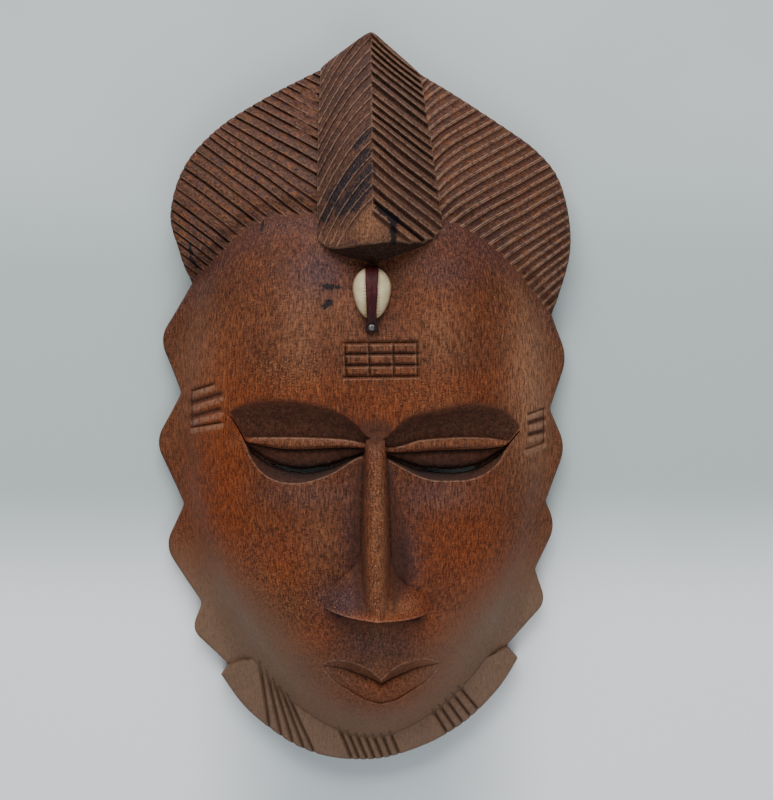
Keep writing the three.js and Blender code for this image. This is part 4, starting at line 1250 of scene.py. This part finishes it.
# Patches of the face by colour: x, y, half width, half height and strength
PATCHES = dict(
    purple=[
        (-17, 52, 12, 11, 1.2), (34, 53, 13, 8, 0.6), (8, 32, 10, 9, 0.3), (-22, -36, 19, 5.5, 0.6),
        (30, -36, 18, 7, 0.65), (-9, -78, 9, 6, 1.1), (19, -62, 4, 16, 0.7), (-5, -52, 3, 20, 0.6),
        (5, -97, 15, 6, 0.5), (-38, -58, 12, 9, 0.2),
    ],
    cool=[
        (-22, -28, 20, 4.5, 1), (30, -28, 20, 4.5, 1), (-4, -58, 4, 24, 0.5), (16, -58, 5, 22, 0.7),
        (-8, -77, 9, 6, 1),
    ],
    orange=[
        (-25, 5, 26, 7, 0.7), (36, 7, 26, 8, 0.7), (-54, -42, 12, 34, 1.0), (40, -62, 20, 26, 1.1),
        (-17, -94, 12, 8, 0.9), (28, -92, 10, 8, 0.8), (8, -117, 15, 6, 0.7), (8, -4, 14, 9, 0.7),
        (36, 38, 14, 10, 0.3), (-32, -64, 12, 15, 0.9), (22, -80, 6, 4, 1.2), (4, -84, 14, 2.5, 0.9),
        (-44, -116, 8, 10, 0.3), (1, 70, 4, 8, 0.8), (-60, 4, 12, 24, 0.8), (-70, -40, 10, 30, 0.7),
    ],
    # Light flecks; the long patch down the nose is a painted highlight on its ridge.
    speckled=[
        (-40, -78, 18, 16, 1), (-13, -79, 6, 4, 1.6), (-28, 12, 16, 9, 0.8), (-2, -88, 16, 8, 0.5),
        (26, 4, 16, 8, 0.6), (18, -79, 7, 4, 0.9), (6.5, -50, 3.4, 40, 1.2), (2, 70, 4, 8, 1),
    ],
    # Bare wood, and painted sheen and highlights on the forehead, the ridge of the nose and the steep right
    # edge.
    bare_and_sheen=[
        (3.5, 69, 5, 8, 0.9), (-10, 66.5, 9, 4, 0.45), (20, 66, 8, 3, 0.3), (7, -50, 2.4, 34, 0.35),
        (16, -80, 7, 3, 0.4), (70, 2, 10, 36, 0.85), (66, 22, 9, 34, 0.4), (8, 22, 12, 10, 0.3),
        (-24, 31, 9, 20, 0.5), (32, 28, 11, 20, 0.45), (-22, -36, 16, 6, 0.2), (34, -37, 14, 6, 0.25),
        (-66, 20, 12, 22, 0.35), (-6, 37, 9, 12, 0.35), (-24, -15.5, 26, 2.2, 0.3),
        (32, -15.5, 26, 2.2, 0.3), (-17, -54, 8, 14, 0.25), (8, -111, 14, 6, 0.25),
    ],
)


def patches(places, x, y):
    return np.clip(sum(share * spot(x, y, cx, cy, rx, ry) for cx, cy, rx, ry, share in places), 0, 1.2)


def make_mask():
    points, faces, front_count = whole_mesh()
    mask = new_piece("mask_wood", points, faces, 38)
    x, y = points[:front_count, 0], points[:front_count, 1]

    def keep(name, values, behind=0.0):
        store(mask, name, np.concatenate([values, np.full(len(points) - front_count, behind)]))

    for name, groups in (("worn_and_highlight", worn_and_highlight_lines()), ("dirt_and_shade", dirt_and_shade_lines())):
        ratio, strength = nearest_line(groups, x, y)
        keep(name + "_ratio", ratio, FAR_AWAY)
        keep(name + "_strength", strength)
    keep("dark", darkness(x, y))
    crest = on_crest(x, y)
    over_hairline = y - hairline(x)
    left = x < ridge_x(y)
    zones = [crest & left, crest, left & (over_hairline > 0), over_hairline > 0]
    keep("headdress", smooth_step(-1, 3.0, over_hairline) * ~crest)
    keep("crest_left", crest & left)
    keep("crest_right", crest & ~left)
    keep("grain", np.select(zones, [0.66, -1.03, -0.96, 1.02], 0))
    for name, places in PATCHES.items():
        under_hair = 0.5 * smooth_step(-16, -2, over_hairline) if name == "purple" else 0
        keep(name, patches(places, x, y) + under_hair)
    out = egg_radius(x, y)
    # Paler, greyer wood on the edges, the chin and the collar: dust, and painted sheen where the surface
    # turns away from the viewer.
    pale = smooth_step(0.62, 0.98, out) * smooth_step(-45, -95, y) + 0.15 * smooth_step(0.86, 1.0, out)
    off_mouth = 1 - 0.9 * spot(x, y, 7, -114, 24, 16)
    keep("pale", np.clip(pale * smooth_step(40, 20, y), 0, 1) * off_mouth)
    keep("inside", 0 * x, 1.0)
    return mask


def ring_faces(rings, sides):
    """Faces of a solid made of rings of points, from its first ring to its last."""
    faces = [range(sides)]
    for start in range(0, (rings - 1) * sides, sides):
        for i in range(sides):
            j = (i + 1) % sides
            faces.append((start + i, start + sides + i, start + sides + j, start + j))
    return [*faces, range(rings * sides - 1, (rings - 1) * sides - 1, -1)]


# The shell, the strap and the nail on the forehead
def shell_half(y):
    """Half the width of the shell at y: an egg with its blunt end up."""
    t = np.clip((SHELL_TOP - y) / (SHELL_TOP - SHELL_BOTTOM), 0, 1)
    blunt = 1 - np.abs(1 - t / SHELL_WIDEST) ** 2
    narrow = 1 - np.abs((t - SHELL_WIDEST) / (1 - SHELL_WIDEST)) ** 1.75
    return SHELL_HALF * np.sqrt(np.maximum(np.where(t < SHELL_WIDEST, blunt, narrow), 0))


def shell_mesh():
    """Rings of points from the top of the shell out to its edge, and back in under it."""
    turn = around(128)
    edge_y = mix(SHELL_BOTTOM, SHELL_TOP, 0.5 + 0.5 * np.sin(turn))
    edge = columns(FEATURE_X + np.sign(np.cos(turn)) * shell_half(edge_y), edge_y)
    centre = np.array([FEATURE_X, mix(SHELL_TOP, SHELL_BOTTOM, 0.44)])
    points = []
    for a in np.linspace(0.02, np.pi / 2, 30):
        out = math.sin(a)
        x, y = (centre + (edge - centre) * out).T
        away = np.abs(x - FEATURE_X)
        aperture = 0.9 * np.exp(-((away / 0.9) ** 2))
        beside = smooth_step(0.6, 1.4, away) * smooth_step(4.3, 2.6, away)
        teeth = 0.16 * np.cos(2 * np.pi * y / TOOTH_PITCH) * beside
        rise = SHELL_HEIGHT * (1 - out**2.5) ** 0.5 - (aperture + teeth) * (1 - out**6)
        points.append(columns(x, y, face_z(x, y) + GAP + 0.35 + rise))
    for out in (0.97, 0.8, 0.5, 0.2):
        x, y = (centre + (edge - centre) * out).T
        points.append(columns(x, y, face_z(x, y) + GAP))
    return np.vstack(points), ring_faces(len(points), len(turn))


def make_shell():
    points, faces = shell_mesh()
    shell = new_piece("cowrie", points, faces)
    x, y = points[:, 0], points[:, 1]
    away = np.abs(x - FEATURE_X)
    ticks = 0.5 + 0.5 * np.cos(2 * np.pi * y / TOOTH_PITCH)
    store(shell, "teeth", smooth_step(3.9, 2.2, away) * (0.55 + 0.45 * ticks))
    store(shell, "edge", smooth_step(0.86, 1.0, away / np.maximum(shell_half(y), 0.1)))
    return shell, points


def upper_hull(points):
    """The points of the tightest line over all of them, from low y to high y."""
    hull = []
    for y, z in points[np.lexsort((points[:, 1], points[:, 0]))]:
        while len(hull) > 1:
            (y0, z0), (y1, z1) = hull[-2:]
            if (z1 - z0) * (y - y0) > (z - z0) * (y1 - y0):
                break
            hull.pop()
        hull.append((y, z))
    return np.array(hull)


def strap_half(y):
    return 1.95 + 0.65 * smooth_step(33, 54, y) + 0.6 * smooth_step(32.5, 29.5, y)


def strap_line(shell_points):
    """The underside of the strap, pulled tight over the shell: its y and z."""
    over = shell_points[np.abs(shell_points[:, 0] - FEATURE_X) < 2.8][:, 1:]
    y = np.linspace(STRAP_BOTTOM, STRAP_TOP, 60)
    ground = np.max([face_z(FEATURE_X + dx + 0 * y, y) for dx in (-2.5, -1, 0, 1, 2.5)], axis=0)
    return upper_hull(np.vstack([over, columns(y, ground)]) + (0, GAP))


def make_strap(line):
    y = np.linspace(STRAP_BOTTOM, STRAP_TOP, 55)
    left, right = [
        columns(FEATURE_X + side * strap_half(y) + 0.08 * rumple(y, 0 * y, 2, seed), y)
        for side, seed in ((-1, 41), (1, 42))
    ]
    across = np.linspace(0, 1, 9)[1:-1, None]
    loop = np.vstack([mix(left[0], right[0], across), right, mix(right[-1], left[-1], across), left[::-1]])
    loop = np.vstack([loop[-1:], loop[:-1]])
    hole = circle(FEATURE_X, NAIL_Y, NAIL_SHANK + GAP, NAIL_SIDES)
    rings = [closed(inset(loop, d)) for d in (0.12, 0.3, 0.6)]
    loose = fill_points(0.4, lambda x, y: inside(loop, x, y))
    loose = far_from(loose, np.vstack([loop, hole, *rings]), 0.22)
    flat, faces = used_only(*triangulated(rings, [loop, hole], loose))
    x, y = flat.T
    crease = CREASE * np.exp(-(((x - FEATURE_X - 0.5 + 0.25 * np.sin(y / 5)) / CREASE) ** 2))
    grain = 0.06 * rumple(x, y, 0.8, 43) + 0.05 * rumple(x, y, 2.1, 44)
    under = np.interp(y, *line.T)
    top = under + STRAP_THICKNESS - rounded_off(closed(loop), x, y, STRAP_EDGE) - crease + grain
    count = len(flat)
    points = np.vstack([columns(flat, top), columns(flat, under)])
    walls = []
    for chain in boundary_loops(faces):
        for a, b in zip(chain, chain[1:] + chain[:1]):
            walls.append((a, a + count, b + count, b))
    strap = new_piece("strap", points, [*faces, *(faces[:, ::-1] + count), *walls], 50)
    store(strap, "crease", np.concatenate([crease / CREASE, 0 * y]))
    return strap


def make_nail(line):
    ends = np.interp([NAIL_Y - NAIL_HEAD, NAIL_Y + NAIL_HEAD], *line.T)
    seat = ends.max() + STRAP_THICKNESS + GAP
    profile = [
        (0.02, 0.8), (0.35, 0.79), (0.75, 0.72), (1.05, 0.58), (1.25, 0.36), (NAIL_HEAD, 0.14),
        (NAIL_HEAD, 0.02), (1.28, 0), (NAIL_SHANK, 0), (NAIL_SHANK, 2.4 - NAIL_LENGTH),
        (0.35, 1.2 - NAIL_LENGTH), (0.02, -NAIL_LENGTH),
    ]
    rings = [circle(FEATURE_X, NAIL_Y, radius, NAIL_SIDES) for radius, _ in profile]
    points = np.vstack([columns(ring, np.full(NAIL_SIDES, seat + z)) for ring, (_, z) in zip(rings, profile)])
    dents = 0.09 * rumple(points[:, 0], points[:, 1], 0.7, 45) * (points[:, 2] > seat + 0.1)
    points[:, 2] += np.minimum(dents, 0.02)
    return new_piece("nail_head", points, ring_faces(len(profile), NAIL_SIDES), 50)


# Materials
class Shader:
    """A node material, built up in few words."""

    def __init__(self, name):
        self.material = bpy.data.materials.new(name)
        self.material.use_nodes = True
        self.tree = self.material.node_tree
        self.surface = self.tree.nodes["Principled BSDF"]

    def feed(self, socket, value):
        if hasattr(value, "is_output"):
            self.tree.links.new(value, socket)
        else:
            socket.default_value = value

    def node(self, kind, inputs, output=0, **settings):
        made = self.tree.nodes.new("ShaderNode" + kind)
        for key, value in settings.items():
            setattr(made, key, value)
        for key, value in inputs.items():
            self.feed(made.inputs[key], value)
        return made.outputs[output]

    def place(self):
        return self.node("TexCoord", {}, output=3)

    def vector(self, operation, a, b=(0, 0, 0)):
        return self.node("VectorMath", {0: a, 1: b}, operation=operation)

    def part(self, vector, axis):
        return self.node("SeparateXYZ", {0: vector}, output=axis)

    def size(self, vector):
        return self.node("VectorMath", {0: vector}, output=1, operation="LENGTH")

    def stretched(self, vector, x, y, z):
        return self.vector("MULTIPLY", vector, (x, y, z))

    def turned(self, vector, angle):
        return self.node("VectorRotate", {"Vector": vector, "Angle": angle}, rotation_type="Z_AXIS")

    def attribute(self, name):
        return self.node("Attribute", {}, output=2, attribute_name=name)

    def noise(self, vector, scale, detail=3.0, roughness=0.55):
        inputs = {"Vector": vector, "Scale": scale, "Detail": detail, "Roughness": roughness}
        return self.node("TexNoise", inputs)

    def cells(self, vector, scale):
        return self.node("TexVoronoi", {"Vector": vector, "Scale": scale})

    def ramp(self, value, low, high, start=0.0, end=1.0):
        inputs = {"Value": value, "From Min": low, "From Max": high, "To Min": start, "To Max": end}
        return self.node("MapRange", inputs, interpolation_type="SMOOTHSTEP")

    def math(self, operation, a, b=0.0):
        return self.node("Math", {0: a, 1: b}, operation=operation)

    def product(self, *values):
        result = values[0]
        for value in values[1:]:
            result = self.math("MULTIPLY", result, value)
        return result

    def tint(self, share, a, b, blend="MIX"):
        """Colour a turned into colour b by a share from 0 to 1."""
        made = self.tree.nodes.new("ShaderNodeMix")
        made.data_type = "RGBA"
        made.blend_type = blend
        self.feed(made.inputs[0], share)
        self.feed(made.inputs[6], a)
        self.feed(made.inputs[7], b)
        return made.outputs[2]

    def coated(self, colour, *coats, blend="MIX"):
        """A colour under coats of other colours, each given as its share and its colour on a screen."""
        for share, coat in coats:
            colour = self.tint(share, colour, rgb(*coat), blend)
        return colour

    def bump(self, height, strength, distance, normal=None):
        inputs = {"Height": height, "Strength": strength, "Distance": distance}
        if normal is not None:
            inputs["Normal"] = normal
        return self.node("Bump", inputs)

    def ragged(self, vector, scale, reach):
        """The place moved about at random, which makes edges uneven."""
        noise = self.node("TexNoise", {"Vector": vector, "Scale": scale}, output=1)
        away = self.vector("SUBTRACT", noise, (0.5, 0.5, 0.5))
        return self.vector("ADD", vector, self.vector("MULTIPLY", away, (reach, reach, reach)))

    def capsule(self, vector, start, end, radius):
        """1 within a radius of the line from start to end seen from the front, and 0 beyond."""
        start, end = np.array([start, end]) * MM
        span = end - start
        away = self.vector("SUBTRACT", self.stretched(vector, 1, 1, 0), (*start, 0))
        unit = (*span / (span @ span), 0)
        t = self.node("VectorMath", {0: away, 1: unit}, output=1, operation="DOT_PRODUCT")
        t = self.node("Clamp", {"Value": t})
        along = self.node("VectorMath", {0: (*span, 0), "Scale": t}, operation="SCALE")
        distance = self.size(self.vector("SUBTRACT", away, along))
        return self.ramp(distance, radius * MM, radius * MM * 0.55)

    def marks(self, vector, strokes):
        """1 on any of the strokes, each from, to and half width, and 0 beyond."""
        share = 0.0
        for start, end, radius in strokes:
            share = self.math("MAXIMUM", self.capsule(vector, start, end, radius), share)
        return share

    def finish(self, **values):
        for key, value in values.items():
            self.feed(self.surface.inputs[key.replace("_", " ").title().replace("Ior", "IOR")], value)
        return self.material


def rgb(red, green, blue):
    """A colour given as it looks on a screen, from 0 to 255, as the shader's linear colour."""
    def linear(v):
        v = v / 255
        return v / 12.92 if v <= 0.04045 else ((v + 0.055) / 1.055) ** 2.4
    return (linear(red), linear(green), linear(blue), 1.0)


# Marks on the wood: from, to and half width in millimetres, seen from the front
BLACK_MARKS = [
    ((-14.6, 46.4), (-11.8, 46.6), 1.6), ((-10, 46.5), (-9.2, 46.6), 1), ((-14.8, 38.8), (-12.8, 40.2), 1.7),
    ((6.8, 75.6), (13.5, 71.6), 1.5), ((9.6, 74.4), (13.2, 71.8), 2.1), ((12.3, 72), (12.7, 63.4), 1.5),
    ((-72, 66), (-71.2, 60), 1.1), ((-71.5, 61), (-69.5, 57.4), 0.9), ((-40.5, 74.5), (-41, 70.5), 0.7),
]
BLUE_PATCHES = [
    ((3, 108), (-2, 102), 1.9), ((2, 98), (-12, 82), 2.9), ((3.5, 91), (-8, 76), 3.0),
    ((3, 84), (-3, 76), 2.2), ((-10, 82), (-14.5, 74), 2.4),
]


def wood_material():
    s = Shader("stained_wood")
    place = s.place()
    grain = s.turned(place, s.attribute("grain"))
    clouds = s.noise(place, 32, 4)
    bands = s.noise(s.stretched(place, 1, 0.3, 1), 70, 3)
    streaks = s.noise(s.stretched(grain, 1, 0.16, 1), 1700, 3, 0.6)
    weave = s.noise(s.stretched(grain, 0.2, 1, 1), 1900, 2, 0.6)
    speckle = s.noise(place, 1700, 2, 0.7)
    mottle = s.noise(place, 520, 3, 0.6)
    blotch = s.noise(s.stretched(place, 1, 1, 1.7), 380, 3, 0.6)
    pores = s.cells(s.stretched(grain, 1, 0.17, 1), 1500)
    pore_mask = s.product(s.ramp(pores, 0.28, 0.1), s.ramp(s.noise(place, 180, 2), 0.38, 0.56))
    # Dark wax and dust, with painted shade in hollows, grooves and under-sides, and some speckle.
    stain_and_shade = s.math("ADD", s.attribute("dark"), s.ramp(speckle, 0.3, 0.7, -0.14, 0.14))

    # The stain of the face, the headdress and the two slopes of the crest
    face = s.coated(
        rgb(92, 48, 28),
        (s.ramp(clouds, 0.35, 0.68), (112, 62, 36)),
        (s.ramp(bands, 0.4, 0.7, 0, 0.5), (110, 55, 29)),
        (s.product(s.attribute("orange"), s.ramp(clouds, 0.2, 0.6, 0.5, 0.95)), (131, 59, 22)),
        (s.product(s.attribute("purple"), 0.85), (77, 51, 56)),
        # Dust and painted sheen on the edges, the chin and the collar.
        (s.product(s.attribute("pale"), 0.85), (118, 94, 76)),
    )
    hair = s.coated(
        rgb(78, 50, 38),
        (s.ramp(clouds, 0.38, 0.62), (98, 64, 46)),
        (s.ramp(mottle, 0.5, 0.62, 0, 0.75), (74, 46, 54)),
        (s.ramp(blotch, 0.5, 0.62, 0, 0.75), (120, 66, 34)),
    )
    left_slope = s.coated(
        rgb(72, 46, 40),
        (s.ramp(clouds, 0.4, 0.65), (88, 58, 46)),
        (s.ramp(mottle, 0.5, 0.7, 0, 0.5), (84, 54, 58)),
    )
    right_slope = s.coated(
        rgb(96, 68, 56),
        (s.ramp(clouds, 0.4, 0.65), (112, 78, 60)),
        (s.ramp(blotch, 0.5, 0.68, 0, 0.6), (98, 56, 44)),
    )
    colour = s.tint(s.attribute("headdress"), face, hair)
    colour = s.tint(s.attribute("crest_left"), colour, left_slope)
    colour = s.tint(s.attribute("crest_right"), colour, right_slope)

    # Bare wood and painted sheen, dark blue stain, and the wax that has gathered in the hollows, deepened
    # with painted shade
    fibres = s.noise(s.stretched(place, 1, 0.1, 1), 1400, 3)
    blue = s.marks(s.ragged(place, 500.0, 0.0016), BLUE_PATCHES)
    colour = s.coated(
        colour,
        (s.product(s.attribute("bare_and_sheen"), s.ramp(fibres, 0.35, 0.6, 0.5, 1.0)), (158, 108, 78)),
        (s.product(blue, s.ramp(mottle, 0.3, 0.5, 0.85, 1.0)), (34, 29, 38)),
    )
    wax_and_shade = s.coated(
        rgb(66, 39, 28),
        (s.ramp(mottle, 0.4, 0.6), (84, 51, 37)),
        (s.attribute("cool"), (58, 44, 41)),
    )
    colour = s.tint(s.ramp(stain_and_shade, 0.0, 1.0, 0, 0.9), colour, wax_and_shade)
    # Near black where darkest: painted shadow under the nose, on the end of the crest, under the lids and in
    # the deepest grooves.
    colour = s.coated(colour, (s.ramp(stain_and_shade, 0.96, 1.2, 0, 0.9), (22, 14, 10)))

    # The grain is finer and fainter on the pale rim and where the wood is already dark
    clear = s.math("SUBTRACT", 1.0, s.math("MINIMUM", stain_and_shade, 0.9))
    coarse = s.product(s.ramp(s.attribute("pale"), 0.0, 0.6, 1.0, 0.3), s.ramp(stain_and_shade, 0.0, 1.0, 1.0, 0.4))
    shade = (84, 60, 58)
    colour = s.coated(
        colour,
        (s.product(s.ramp(streaks, 0.44, 0.62, 0, 0.6), coarse), shade),
        (s.product(s.ramp(weave, 0.48, 0.62, 0, 0.42), coarse), shade),
        blend="MULTIPLY",
    )
    flecks = s.math("ADD", s.product(s.attribute("speckled"), 0.6), 0.22)
    colour = s.coated(
        colour,
        (s.product(s.ramp(streaks, 0.42, 0.3), clear, coarse, 0.45), (160, 98, 56)),
        (s.product(s.ramp(speckle, 0.54, 0.66), flecks, clear, coarse), (176, 124, 82)),
    )
    colour = s.coated(colour, (s.product(pore_mask, coarse, 0.7), (60, 44, 42)), blend="MULTIPLY")

    # Lines of dirt with painted shade and of bare wood with painted highlight, black marks, and the inside
    dirt_and_shade = s.product(s.ramp(s.attribute("dirt_and_shade_ratio"), 1.0, 0.25), s.attribute("dirt_and_shade_strength"))
    worn_and_highlight = s.product(s.ramp(s.attribute("worn_and_highlight_ratio"), 1.0, 0.3), s.attribute("worn_and_highlight_strength"))
    black = s.marks(s.ragged(place, 600.0, 0.003), BLACK_MARKS)
    colour = s.coated(
        colour,
        (s.product(dirt_and_shade, s.ramp(s.noise(place, 260, 3), 0.25, 0.5, 0.7, 1.0)), (24, 15, 11)),
        (s.product(worn_and_highlight, s.ramp(s.noise(place, 620, 3), 0.32, 0.6, 0.2, 1.0)), (166, 130, 106)),
        (s.product(black, 0.92), (22, 18, 22)),
        (s.product(s.attribute("inside"), 0.7), (104, 76, 58)),
    )

    height = s.math("ADD", s.product(streaks, 0.5), s.product(pore_mask, -0.8))
    normal = s.bump(height, 0.5, 0.0003)
    normal = s.bump(s.math("ADD", speckle, weave), 0.4, 0.00018, normal)
    rougher = s.math("ADD", s.product(pore_mask, 0.2), s.ramp(stain_and_shade, 0.1, 1.0, 0.0, 0.3))
    roughness = s.math("ADD", s.ramp(clouds, 0.3, 0.7, 0.5, 0.62), rougher)
    return s.finish(base_color=colour, roughness=roughness, normal=normal, specular_ior_level=0.17)


def shell_material():
    s = Shader("cowrie_gloss")
    place = s.place()
    colour = s.coated(
        rgb(202, 184, 142),
        (s.ramp(s.noise(place, 260, 3), 0.35, 0.65), (220, 202, 164)),
        (s.product(s.attribute("teeth"), 0.7), (150, 98, 58)),
        (s.product(s.attribute("edge"), 0.7), (140, 98, 62)),
    )
    return s.finish(base_color=colour, roughness=0.38, specular_ior_level=0.4)


def leather_material():
    s = Shader("dark_red_leather")
    place = s.place()
    along = s.noise(s.stretched(place, 1, 0.12, 1), 1600, 3)
    # Painted shade at the strap's lower end.
    low = s.ramp(s.part(place, 1), 0.036, 0.031)
    colour = s.coated(
        rgb(46, 6, 10),
        (s.ramp(along, 0.35, 0.65), (74, 16, 21)),
        (s.product(low, 0.7), (40, 22, 18)),
        # Painted shade in the fold along the strap.
        (s.product(s.attribute("crease"), 0.6), (40, 14, 18)),
    )
    normal = s.bump(along, 0.5, 0.00015)
    return s.finish(base_color=colour, roughness=0.6, normal=normal, specular_ior_level=0.22)


def nail_material():
    s = Shader("dull_steel")
    rust = s.noise(s.place(), 1800, 3)
    colour = s.coated(rgb(128, 126, 124), (s.ramp(rust, 0.4, 0.6), (62, 52, 48)))
    return s.finish(base_color=colour, metallic=0.6, roughness=s.ramp(rust, 0.4, 0.6, 0.4, 0.7))


def add(piece, material, node):
    piece.data.materials.append(material)
    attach(piece, "root")
    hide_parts(node)


shell_piece, shell_points = make_shell()
strap_under = strap_line(shell_points)
add(make_mask(), wood_material(), "carved_mask")
add(shell_piece, shell_material(), "cowrie_shell")
add(make_strap(strap_under), leather_material(), "leather_strap")
add(make_nail(strap_under), nail_material(), "nail")


# The stage: a pale floor, a camera straight above and soft light
CAMERA = (9.9, 1.4, 560.0)
FOCAL_PIXELS = 1302
PICTURE_HEIGHT = 800
SENSOR = 36.0
FLOOR_HALF_SIZE = 1500.0
FLOOR_GAP = 0.2


def make_camera():
    data = bpy.data.cameras.new("camera")
    data.sensor_width = SENSOR
    data.lens = FOCAL_PIXELS / PICTURE_HEIGHT * SENSOR
    camera = new_object("camera", data)
    camera.location = [v * MM for v in CAMERA]
    bpy.context.scene.camera = camera


def make_floor():
    size = FLOOR_HALF_SIZE
    corners = [(-size, -size, 0), (size, -size, 0), (size, size, 0), (-size, size, 0)]
    floor = new_piece("floor", np.array(corners) - (0, 0, FLOOR_GAP), [(0, 1, 2, 3)])
    s = Shader("pale_floor")
    place = s.place()
    up = s.part(place, 1)
    aside = s.math("ABSOLUTE", s.part(place, 0))
    near = s.ramp(s.size(place), 0.5, 0.27)
    # A painted soft shadow in a band beside the mask, and painted light that whitens the floor's lower
    # corners.
    colour = s.coated(
        rgb(198, 206, 207),
        (s.ramp(s.noise(place, 6, 3), 0.35, 0.7), (206, 214, 214)),
        (s.product(s.ramp(up, 0.11, 0.05), s.ramp(up, -0.06, -0.03), near), (187, 196, 194)),
        (s.product(s.ramp(up, -0.035, -0.1), s.ramp(aside, 0.02, 0.09), near), (255, 255, 255)),
    )
    floor.data.materials.append(s.finish(base_color=colour, roughness=0.8))


def area_light(name, size, power, place, colour=(1, 1, 1), target=(0, 0, 0)):
    """A soft light that points at the mask, or at another target."""
    data = bpy.data.lights.new(name, "AREA")
    data.shape = "RECTANGLE"
    data.size, data.size_y = size
    data.energy = power
    data.color = colour
    lamp = new_object(name, data)
    lamp.location = place
    lamp.rotation_euler = (Vector(target) - Vector(place)).to_track_quat("-Z", "Y").to_euler()


def make_light():
    world = bpy.data.worlds.new("world")
    world.use_nodes = True
    background = world.node_tree.nodes["Background"]
    background.inputs["Color"].default_value = (0.86, 0.93, 1.0, 1)
    background.inputs["Strength"].default_value = 0.35
    bpy.context.scene.world = world
    area_light("window", (1.3, 0.7), 20.5, (-0.15, 1.05, 0.8))
    area_light("fill", (1.6, 1.0), 8.5, (0.2, -0.9, 0.9), (0.9, 0.95, 1.0))
    pale_green = (0.85, 1.0, 0.93)
    area_light("left_glow", (0.012, 0.004), 0.00055, (-0.034, -0.055, 0.02), pale_green, (-0.035, -0.026, 0))
    area_light("right_glow", (0.006, 0.004), 0.00055, (0.055, -0.045, 0.013), pale_green, (0.052, -0.024, 0))


make_camera()
make_floor()
make_light()
